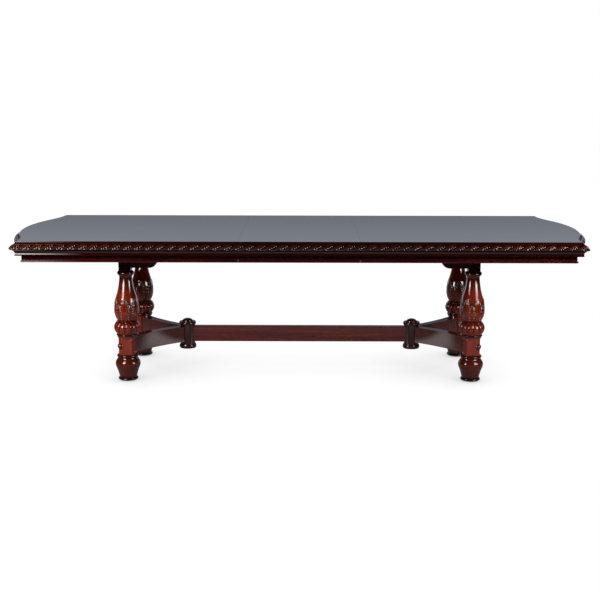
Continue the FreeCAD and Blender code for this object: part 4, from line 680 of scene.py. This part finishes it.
def rope_tree():
    """Geometry nodes: strands in a row, bent along a path."""
    tree = bpy.data.node_groups.new("rope_run", "GeometryNodeTree")
    for socket, kind in (("Geometry", "Geometry"), ("Path", "Object"), ("Strand", "Object"), ("Count", "Int"),
                         ("Pitch", "Float"), ("Start", "Float"), ("Finish", "Material")):
        tree.interface.new_socket(socket, in_out="INPUT", socket_type="NodeSocket" + kind)
    tree.interface.new_socket("Geometry", in_out="OUTPUT", socket_type="NodeSocketGeometry")
    given = add_node(tree, "NodeGroupInput", {}).outputs
    path_shape = add_node(tree, "GeometryNodeObjectInfo", {"Object": given["Path"]})
    strand_shape = add_node(tree, "GeometryNodeObjectInfo", {"Object": given["Strand"]})
    start = add_node(tree, "ShaderNodeCombineXYZ", {"X": given["Start"]})
    step = add_node(tree, "ShaderNodeCombineXYZ", {"X": given["Pitch"]})
    line = add_node(tree, "GeometryNodeMeshLine", {"Count": given["Count"], "Start Location": start.outputs["Vector"],
                                                   "Offset": step.outputs["Vector"]})
    row = add_node(tree, "GeometryNodeInstanceOnPoints", {"Points": line.outputs["Mesh"],
                                                          "Instance": strand_shape.outputs["Geometry"]})
    real = add_node(tree, "GeometryNodeRealizeInstances", {"Geometry": row.outputs["Instances"]})
    welded = add_node(tree, "GeometryNodeMergeByDistance", {"Geometry": real.outputs["Geometry"],
                                                            "Distance": WELD_DISTANCE})
    place = add_node(tree, "GeometryNodeInputPosition", {})
    parts = add_node(tree, "ShaderNodeSeparateXYZ", {"Vector": place.outputs["Position"]})
    on_path = add_node(tree, "GeometryNodeSampleCurve", {"Curves": path_shape.outputs["Geometry"],
                                                         "Length": parts.outputs["X"]}, mode="LENGTH")
    outward = add_node(tree, "ShaderNodeVectorMath", {0: on_path.outputs["Tangent"], 1: (0, 0, 1)},
                       operation="CROSS_PRODUCT")
    reach = add_node(tree, "ShaderNodeVectorMath", {0: outward.outputs["Vector"], "Scale": parts.outputs["Y"]},
                     operation="SCALE")
    height = add_node(tree, "ShaderNodeCombineXYZ", {"Z": parts.outputs["Z"]})
    aside = add_node(tree, "ShaderNodeVectorMath", {0: on_path.outputs["Position"], 1: reach.outputs["Vector"]},
                     operation="ADD")
    bent = add_node(tree, "ShaderNodeVectorMath", {0: aside.outputs["Vector"], 1: height.outputs["Vector"]},
                    operation="ADD")
    moved = add_node(tree, "GeometryNodeSetPosition", {"Geometry": welded.outputs["Geometry"],
                                                       "Position": bent.outputs["Vector"]})
    dressed = add_node(tree, "GeometryNodeSetMaterial", {"Geometry": moved.outputs["Geometry"],
                                                         "Material": given["Finish"]})
    add_node(tree, "NodeGroupOutput", {"Geometry": dressed.outputs["Geometry"]})
    return tree


laying = rope_tree()
input_names = {item.name: item.identifier for item in laying.interface.items_tree if item.in_out == "INPUT"}


def rope_run(points, start):
    """Lays strands along a path of points, from a start length, and returns them as a bmesh."""
    curve = bpy.data.curves.new("rope_path", "CURVE")
    curve.dimensions = "3D"
    spline = curve.splines.new("POLY")
    spline.points.add(len(points) - 1)
    for point, (x, y) in zip(spline.points, points):
        point.co = (x, y, table_height, 1)
    path_object = bpy.data.objects.new("rope_path", curve)
    host = bpy.data.objects.new("rope_host", bpy.data.meshes.new("rope_host"))
    scene.collection.objects.link(path_object)
    scene.collection.objects.link(host)
    length = sum(math.dist(a, b) for a, b in zip(points, points[1:]))
    modifier = host.modifiers.new("rope_run", "NODES")
    modifier.node_group = laying
    values = {"Path": path_object, "Strand": strand, "Count": int((length - start) / rope_pitch), "Pitch": rope_pitch,
              "Start": start, "Finish": rope_finish}
    for socket, value in values.items():
        modifier[input_names[socket]] = value
    laid = bpy.data.meshes.new_from_object(host.evaluated_get(bpy.context.evaluated_depsgraph_get()))
    bm = bmesh.new()
    bm.from_mesh(laid)
    for extra in (host, path_object):
        bpy.data.objects.remove(extra)
    bpy.data.meshes.remove(laid)
    return bm


print("rope tree:", len(laying.nodes), "nodes, inputs", list(input_names))

# %% [markdown]
# A joiner lets the carved strip run past the corner and saws it there at 45 degrees. The same is done here: each run is
# longer than its place, and is cut with a plane at the corner or at the joint, and the cut is closed, so every piece
# of rope stays a closed solid.

# %% Saw the runs and join them
SAW_TOLERANCE = 1e-7


def sawn(bm, point, normal):
    """Cuts away what lies on the side of the normal and closes the cut."""
    cut = bmesh.ops.bisect_plane(bm, geom=bm.verts[:] + bm.edges[:] + bm.faces[:], plane_co=point, plane_no=normal,
                                 clear_outer=True, dist=SAW_TOLERANCE)
    rim = [item for item in cut["geom_cut"] if isinstance(item, bmesh.types.BMEdge)]
    bmesh.ops.edgeloop_fill(bm, edges=rim)


def joined(runs, turned_round=False):
    """Puts several runs into one bmesh, turned half round for the other end of the table."""
    whole = bmesh.new()
    for run in runs:
        shape = bpy.data.meshes.new("run")
        run.to_mesh(shape)
        if turned_round:
            shape.transform(Matrix.Rotation(math.pi, 4, "Z"))
        whole.from_mesh(shape)
        bpy.data.meshes.remove(shape)
    return whole


# %% [markdown]
# The ends of the top are serpentine: they leave each corner in a hollow curve and swell in the middle. Three arcs that
# meet without a kink draw it, as a joiner's template would: the middle one takes most of the radius and the two
# outer ones the rest.

# %% Line of the serpentine end
corner_x = 1407 * MM
end_bow = end_x - corner_x
BOW_SHARE = 0.62
HOLLOW_STEPS, BOW_STEPS = 40, 90


def serpentine_end():
    """The end of the top from the front corner to the back one: reversed, outward, reversed arcs."""
    radius = half_width ** 2 / (2 * end_bow) + end_bow / 2
    outer = radius * BOW_SHARE
    inner = radius - outer
    turn = math.asin(half_width / radius)
    first = [(corner_x + inner - inner * math.cos(a), -half_width + inner * math.sin(a))
             for a in np.linspace(0, turn, HOLLOW_STEPS)]
    middle = [(corner_x + end_bow - outer + outer * math.cos(a), outer * math.sin(a))
              for a in np.linspace(-turn, turn, BOW_STEPS)]
    last = [(x, -y) for x, y in reversed(first)]
    return first + middle[1:-1] + last


end_line = serpentine_end()
print("serpentine end:", len(end_line), "points, bow %.1f mm" % (end_bow / MM))

# %% [markdown]
# Eight runs of rope go round the table: three on each half and two on the leaf. The two halves are the same piece
# turned half round, so only the right one is laid. All runs of one half move together, so they become one piece.

# %% Lay the rope round the top
OVERSHOOT = 0.09
front_corner = Vector((corner_x, -half_width, 0))
back_corner = Vector((corner_x, half_width, 0))
saw_front = Vector((1, 1, 0))
saw_back = Vector((1, -1, 0))


def half_runs():
    """The three runs of the right half: front, end and back."""
    past_corner, past_seam = corner_x + OVERSHOOT, seam_x - rope_pitch
    front = rope_run([(past_seam, -half_width), (past_corner, -half_width)], -rope_pitch)
    sawn(front, (seam_x, 0, 0), (-1, 0, 0))
    sawn(front, front_corner, saw_front)
    end = rope_run([(corner_x, -half_width - OVERSHOOT)] + end_line + [(corner_x, half_width + OVERSHOOT)], 0.0)
    sawn(end, front_corner, -saw_front)
    sawn(end, back_corner, -saw_back)
    back = rope_run([(past_corner, half_width), (past_seam, half_width)],
                    (past_corner - seam_x) % rope_pitch - rope_pitch)
    sawn(back, (seam_x, 0, 0), (-1, 0, 0))
    sawn(back, back_corner, saw_back)
    return [front, end, back]


def leaf_runs():
    """The two short runs of the leaf."""
    reach = leaf_length / 2
    front = rope_run([(-reach - rope_pitch, -half_width), (reach + rope_pitch * 2, -half_width)], 0.0)
    back = rope_run([(reach + rope_pitch, half_width), (-reach - rope_pitch * 2, half_width)], 0.0)
    for run in (front, back):
        sawn(run, (reach, 0, 0), (1, 0, 0))
        sawn(run, (-reach, 0, 0), (-1, 0, 0))
    return [front, back]


right_runs = half_runs()
for side, turned in (("right", False), ("left", True)):
    replaced = ["rope_%s_%s" % (place, side) for place in ("front", "end", "back")]
    finished_piece("carved_rope_" + side, joined(right_runs, turned), side + "_half", rope_finish,
                   replaced)
finished_piece("carved_rope_leaf", joined(leaf_runs()), "leaf", rope_finish,
               ["rope_front_leaf", "rope_back_leaf"])

# %% [markdown]
# A turned leg is a profile spun round its axis on a lathe. The profile is written as points of radius and height, and a
# bow between two points is an arc that swells by so many millimetres. The gadrooned ring above the block is fluted like
# a melon, and the foot of the vase is wrapped in six carved leaves: both are cut after turning, so they are added here
# as a relief on the turned radius.

# %% The turned profile of a leg
def bow(start, end, swell, steps=10):
    """Points of an arc from start towards end, both (radius, height), that swells outward; the end is left out."""
    start, end = np.array(start, float), np.array(end, float)
    chord = np.linalg.norm(end - start)
    outward = np.array([end[1] - start[1], start[0] - end[0]]) / chord
    points = []
    for share in np.arange(steps) / steps:
        lift = swell * (1 - (2 * share - 1) ** 2)
        points.append(tuple(start + (end - start) * share + outward * lift))
    return points


MELON_LOW, MELON_HIGH = 258, 321
LEAF_LOW, LEAF_HIGH, SMALL_LEAF_HIGH = 330, 447, 418
FOOT_PROFILE = ([(0, 3)] + bow((46, 3), (46, 19), 7) + [(46, 19), (46.5, 19), (46.5, 23), (49, 33), (54, 51)]
                + bow((60, 68), (53, 121), 9.5, 16) + [(53, 121)] + bow((52.5, 128), (52.5, 142), 5, 8)
                + [(52.5, 142), (0, 142)])
VASE_PROFILE = ([(0, 236), (52.5, 236)] + bow((52.5, 243), (52.5, 255), 5, 8) + [(52.5, 255), (52.5, 258)]
                + bow((55.5, MELON_LOW), (55.5, MELON_HIGH), 13.2, 22) + [(55.5, MELON_HIGH), (48, MELON_HIGH)]
                + bow((48, LEAF_LOW), (62.5, 392), 5.0, 32) + bow((62.5, 392), (55.5, 450), 1.2, 30)
                + bow((55.5, 450), (33.5, 562), -4.1, 24) + [(33.5, 562)] + bow((38.5, 570), (38.5, 591), 6, 10)
                + [(38.5, 591), (32, 594), (0, 594)])
print("profile points:", len(FOOT_PROFILE), "and", len(VASE_PROFILE))

# %% [markdown]
# The relief is a depth over angle and height, with a share of glaze and painted shade, and of painted highlight, at
# each point. Each leaf is a smooth blade that swells from its foot and closes to a rolled tip, with a fine groove along
# its middle and scalloped borders. The crests of the borders and an arc near the tip carry painted highlights, and the
# hollows of the scallops, the groove and the leaf's edge are dark with glaze and painted shade. Between two leaves a
# smaller one looks out from behind. The ground between the leaves and the melon's grooves are dark with glaze and
# painted shade, and the turned rings and the top of the melon ring with painted shade. Sculpting by hand would be
# freer, but a rule gives six equal leaves and the same result each run.

# %% Relief of the melon lobes and the leaves
MELON_LOBES = 12
MELON_CUT = 5.0
# Glaze and painted shade in the melon's grooves, and painted shade over the top of the ring.
MELON_GROOVE_SHADE_AND_GLAZE, MELON_TOP_PAINTED_SHADE, MELON_TOP = 0.95, 0.5, 0.72
LEAVES = 6
LEAF_SPREAD = ((0, 0.8), (0.2, 0.92), (0.45, 1.0), (0.65, 0.94), (0.8, 0.76), (0.92, 0.48), (1, 0.1))
BIG_LEAF = (LEAF_HIGH, 27, 2.8)
SMALL_LEAF = (SMALL_LEAF_HIGH, 16, 2.0)
SCALLOPS, SCALLOP_SLANT, SCALLOP_CUT = 8, 0.7, 3.0
RIB_WIDTH, RIB_CUT, RIB_END = 1.6, 0.7, 0.75
TIP_ROLL = 2.2
# Painted highlights on the crests of the scallops and in an arc near the tip.
BORDER_PAINTED_HIGHLIGHT, TIP_PAINTED_HIGHLIGHT = 0.36, 0.55
# Glaze and painted shade on the ground between the leaves, fading towards the tips, and painted shade on the turned
# rings.
GROUND_SHADE_AND_GLAZE, GROUND_FADE = 0.85, 45
RING_PAINTED_SHADE = 0.8
SHADED_RINGS = ((3, 24), (124, 142), (240, 257), (321, 332))
print("relief of", LEAVES, "large leaves,", LEAVES, "small ones and", MELON_LOBES, "melon lobes")


def melon_relief(angle, height):
    """Grooves between the lobes of the melon ring: how far each point stands out, its share of glaze and
    painted shade, and of painted highlight.
    """
    phase = (angle * MELON_LOBES / (2 * math.pi)) % 1.0
    rise = np.clip((height - MELON_LOW) / (MELON_HIGH - MELON_LOW), 0, 1)
    groove = np.abs(2 * phase - 1) ** 3 * np.sin(math.pi * rise) ** 0.4
    shaded = np.clip(MELON_GROOVE_SHADE_AND_GLAZE * groove + MELON_TOP_PAINTED_SHADE * np.clip((rise - MELON_TOP) / 0.2, 0, 1), 0, 1)
    return np.array((-MELON_CUT * groove, shaded, 0 * groove))


def leaf_relief(angle, height, radius, first_angle, tip, half_width_mm, proud):
    """One ring of carved leaves, smooth blades with scalloped borders: how far each point stands
    out, its share of glaze and painted shade, and how much painted highlight its crests and tip carry."""
    spacing = 2 * math.pi / LEAVES
    aside = np.abs((angle - first_angle + spacing / 2) % spacing - spacing / 2) * radius
    rise = (height - LEAF_LOW) / (tip - LEAF_LOW)
    if not 0 <= rise <= 1:
        return np.zeros((3, len(angle)))
    across = np.clip(aside / (half_width_mm * np.interp(rise, *zip(*LEAF_SPREAD))), 0, 1)
    border = np.clip((across - 0.5) / 0.2, 0, 1)
    notch = (0.5 - 0.5 * np.cos(2 * math.pi * (SCALLOPS * rise - SCALLOP_SLANT * across))) * border
    midrib = np.exp(-(aside / RIB_WIDTH) ** 2) * (rise < RIB_END)
    tip_roll = TIP_ROLL * np.exp(-((across - 0.72) / 0.2) ** 2) * np.clip((rise - 0.7) / 0.15, 0, 1)
    pillow = np.sqrt(1 - across ** 4)
    # Glaze and painted shade in the scallop hollows, the middle groove and at the leaf's edge.
    glaze_and_shade = np.clip(0.95 * notch + 0.55 * midrib + across ** 8, 0, 1)
    # Painted highlights on the scallop crests near the border and on an arc near the tip.
    painted_highlight = BORDER_PAINTED_HIGHLIGHT * np.clip(1 - 2.5 * notch, 0, 1) * np.clip((across - 0.55) / 0.2, 0, 1) * (across < 0.95)
    tip_highlight_arc = TIP_PAINTED_HIGHLIGHT * np.exp(-((across - 0.68) / 0.2) ** 2) * np.clip((rise - 0.72) / 0.1, 0, 1)
    stand = pillow * (proud - SCALLOP_CUT * notch - RIB_CUT * midrib + tip_roll)
    return np.where(across < 1, (stand, glaze_and_shade, np.maximum(painted_highlight, tip_highlight_arc)), 0)


def leg_relief(first_leaf):
    """The whole relief of a leg with its first leaf at this angle."""
    def relief(angles, height, radius):
        if MELON_LOW < height < MELON_HIGH:
            return melon_relief(angles, height)
        big = leaf_relief(angles, height, radius, first_leaf, *BIG_LEAF)
        small = leaf_relief(angles, height, radius, first_leaf + math.pi / LEAVES, *SMALL_LEAF)
        ground = np.zeros_like(big)
        # Painted shade on the turned rings; glaze and painted shade on the ground between the leaves.
        if any(low <= height <= high for low, high in SHADED_RINGS):
            ground[1] = RING_PAINTED_SHADE
        elif LEAF_LOW <= height <= LEAF_HIGH:
            ground[1] = GROUND_SHADE_AND_GLAZE * min((LEAF_HIGH - height) / GROUND_FADE, 1)
        return np.where(big[0] > small[0], big, np.where(small[0] > 0, small, ground))
    return relief


# %% [markdown]
# Spinning is a ring of points for each point of the profile, joined to the ring above. Blender's own spin does this
# too, but here every point also takes its relief, its glaze and painted shade and its painted highlight on the way.

# %% Spin a profile
def turned_bmesh(profile, segments, relief=None):
    """Spins a profile of (radius, height) points, in millimetres, and adds a relief with its glaze, painted shade and
    painted highlight.
    """
    bm = bmesh.new()
    glaze_and_shade_layer = bm.verts.layers.float.new("glaze_and_shade")
    painted_highlight_layer = bm.verts.layers.float.new("painted_highlight")
    angles = np.arange(segments) * 2 * math.pi / segments
    rings = []
    for radius, height in profile:
        if radius == 0:
            rings.append([bm.verts.new((0, 0, height * MM))])
            continue
        carved = relief(angles, height, radius) if relief else np.zeros((3, segments))
        ring = []
        for angle, rise, glaze_and_shade, painted_highlight in zip(angles, *carved):
            reach = radius + rise
            vertex = bm.verts.new((reach * math.cos(angle) * MM, reach * math.sin(angle) * MM, height * MM))
            vertex[glaze_and_shade_layer] = glaze_and_shade
            vertex[painted_highlight_layer] = painted_highlight
            ring.append(vertex)
        rings.append(ring)
    for low, high in zip(rings, rings[1:]):
        for index in range(segments):
            after = (index + 1) % segments
            corners = [low[index % len(low)], low[after % len(low)], high[after % len(high)], high[index % len(high)]]
            bm.faces.new(list(dict.fromkeys(corners)))
    return bm


# %% [markdown]
# Each leg has two square blocks, left square so that the arms and rails can be joined to them. The lower one has its
# corners planed off, and a round recess on its outer corner holds the turned cap over the bolt. The recess is bored
# with a Boolean modifier, as a drill would, and the blocks' edges are softened with a bevel, which catches the light.

# %% Blocks of a leg
BLOCK_LOW, BLOCK_HIGH, BLOCK_HALF, BLOCK_CHAMFER = 142, 236, 43, 14
TOP_BLOCK_LOW, TOP_BLOCK_HIGH, TOP_BLOCK_HALF = 594, 712, 32
BLOCK_EDGE = 1.2
CAP_SEAT, CAP_RECESS_RADIUS, DRILL_END, DRILL_SEGMENTS = 44.0, 18.3, 90, 48
bolt_height = middle_of("leg_bolt_caps")[2]


def block_bmesh(low, high, half, chamfer):
    """A square block with planed corners and softened edges."""
    bm = bmesh.new()
    inner = half - chamfer
    outline = [(half, -half), (half, half), (-half, half), (-half, -half)]
    if chamfer:
        outline = [(half, -inner), (half, inner), (inner, half), (-inner, half), (-half, inner), (-half, -inner),
                   (-inner, -half), (inner, -half)]
    base = bm.faces.new([bm.verts.new((x * MM, y * MM, low * MM)) for x, y in outline])
    raised = bmesh.ops.extrude_face_region(bm, geom=[base])
    moved = [item for item in raised["geom"] if isinstance(item, bmesh.types.BMVert)]
    bmesh.ops.translate(bm, verts=moved, vec=(0, 0, (high - low) * MM))
    bmesh.ops.recalc_face_normals(bm, faces=bm.faces)
    bmesh.ops.bevel(bm, geom=bm.edges[:], offset=BLOCK_EDGE * MM, segments=2, affect="EDGES", profile=0.5)
    return bm


def recessed_block(outer):
    """The lower block with the recess for its cap, bored from the outer corner."""
    block_mesh = bpy.data.meshes.new("block")
    block_bmesh(BLOCK_LOW, BLOCK_HIGH, BLOCK_HALF, BLOCK_CHAMFER).to_mesh(block_mesh)
    block = bpy.data.objects.new("block", block_mesh)
    drill_mesh = bpy.data.meshes.new("drill")
    drill_bm = turned_bmesh([(0, CAP_SEAT), (CAP_RECESS_RADIUS, CAP_SEAT), (CAP_RECESS_RADIUS, DRILL_END),
                             (0, DRILL_END)], DRILL_SEGMENTS)
    bmesh.ops.recalc_face_normals(drill_bm, faces=drill_bm.faces)
    drill_bm.to_mesh(drill_mesh)
    drill = bpy.data.objects.new("drill", drill_mesh)
    for item in (block, drill):
        scene.collection.objects.link(item)
    drill.rotation_euler = Vector((outer[0], outer[1], 0)).to_track_quat("Z", "Y").to_euler()
    drill.location = (0, 0, bolt_height)
    bore = block.modifiers.new("bore", "BOOLEAN")
    bore.operation = "DIFFERENCE"
    bore.object = drill
    bpy.context.view_layer.update()
    bored = bpy.data.meshes.new_from_object(block.evaluated_get(bpy.context.evaluated_depsgraph_get()))
    for item in (block, drill):
        bpy.data.objects.remove(item)
    return bored


print("blocks from %d to %d mm and from %d to %d mm" % (BLOCK_LOW, BLOCK_HIGH, TOP_BLOCK_LOW, TOP_BLOCK_HIGH))

# %% [markdown]
# A leg is put together from its foot, its block, its vase and its top block, and stands for one CAD node. The leaves of
# the two front legs start at different angles, as in the photograph, so the pair does not look stamped. The vase has
# three times as many segments as the foot, because its leaves need them.

# %% Legs
FOOT_SEGMENTS, VASE_SEGMENTS = 72, 216
LEAF_START = {"front_left": 268, "front_right": 290, "back_left": 89, "back_right": 89}
LEG_SIDES = {"front_left": (-1, -1), "front_right": (1, -1), "back_left": (-1, 1), "back_right": (1, 1)}


def leg_piece(corner, sign_x, sign_y):
    """One carved leg at its corner."""
    relief = leg_relief(math.radians(LEAF_START[corner]))
    whole = bmesh.new()
    parts = [turned_bmesh(FOOT_PROFILE, FOOT_SEGMENTS, relief), turned_bmesh(VASE_PROFILE, VASE_SEGMENTS, relief),
             block_bmesh(TOP_BLOCK_LOW, TOP_BLOCK_HIGH, TOP_BLOCK_HALF, 0)]
    shapes = []
    for part in parts:
        bmesh.ops.recalc_face_normals(part, faces=part.faces)
        shape = bpy.data.meshes.new("leg_part")
        part.to_mesh(shape)
        part.free()
        shapes.append(shape)
    shapes.append(recessed_block((sign_x, sign_y)))
    for shape in shapes:
        whole.from_mesh(shape)
        bpy.data.meshes.remove(shape)
    bmesh.ops.translate(whole, verts=whole.verts, vec=(sign_x * leg_x, sign_y * leg_y, 0))
    finished_piece("carved_leg_" + corner, whole, "base", turned_finish, ["leg_" + corner])


for corner, signs in LEG_SIDES.items():
    leg_piece(corner, *signs)

# %% [markdown]
# Two turned hubs take the arms and the stretcher: a round foot flange, a plain shaft, a second flange and a low
# dome on top. They come off the same lathe as the legs, so the same spin makes them, without a relief.

# %% Hubs
HUB_SEGMENTS = 96
DOME_RADIUS, DOME_FOOT, DOME_RISE = 28, 265, 14
HUB_PROFILE = ([(0, 112), (44, 112)] + bow((44, 112), (44, 134), 3, 8)[1:]
               + [(44, 134), (40, 134), (40, 150), (40, 236), (40, 244), (44, 244)]
               + bow((44, 244), (44, 261), 3, 8)[1:]
               + [(44, 261), (31, 261), (31, 264.4), (30.4, DOME_FOOT), (DOME_RADIUS, DOME_FOOT)]
               + [(DOME_RADIUS * math.cos(a), DOME_FOOT + DOME_RISE * math.sin(a)) for a in np.linspace(0.15, 1.45, 8)]
               + [(0, DOME_FOOT + DOME_RISE)])
hub_x = middle_of("hub_right")[0]
for side, sign in (("left", -1), ("right", 1)):
    hub = turned_bmesh(HUB_PROFILE, HUB_SEGMENTS)
    bmesh.ops.translate(hub, verts=hub.verts, vec=(sign * hub_x, 0, 0))
    finished_piece("turned_hub_" + side, hub, "base", hub_finish, ["hub_" + side])

# %% [markdown]
# The leaf and the two halves meet with a joint of about half a millimetre, and light would shine through it from the
# floor. A thin slip of dark veneer on each long edge of the leaf, just under the surface, closes the joint and stands
# in for the shade inside it, as painted shade.

# %% Slips in the leaf's joints
SLIP_LOW, SLIP_HIGH, SLIP_END = 14 * MM, 1.5 * MM, 2 * MM
SLIP_FILL = 0.8
slip_thickness = SLIP_FILL * (seam_x - leaf_high[0])
slip_drop = (SLIP_LOW + SLIP_HIGH) / 2
slips = bmesh.new()
for edge, out in ((leaf_high[0], 1), (leaf_low[0], -1)):
    made = bmesh.ops.create_cube(slips, size=1.0)
    bmesh.ops.scale(slips, verts=made["verts"],
                    vec=(slip_thickness, 2 * (half_width - SLIP_END), SLIP_LOW - SLIP_HIGH))
    bmesh.ops.translate(slips, verts=made["verts"],
                        vec=(edge + out * slip_thickness / 2, 0, table_height - slip_drop))
# The slips stand in for the shade inside the joint.
finished_piece("leaf_joint_slips", slips, "leaf", moulding_finish, [])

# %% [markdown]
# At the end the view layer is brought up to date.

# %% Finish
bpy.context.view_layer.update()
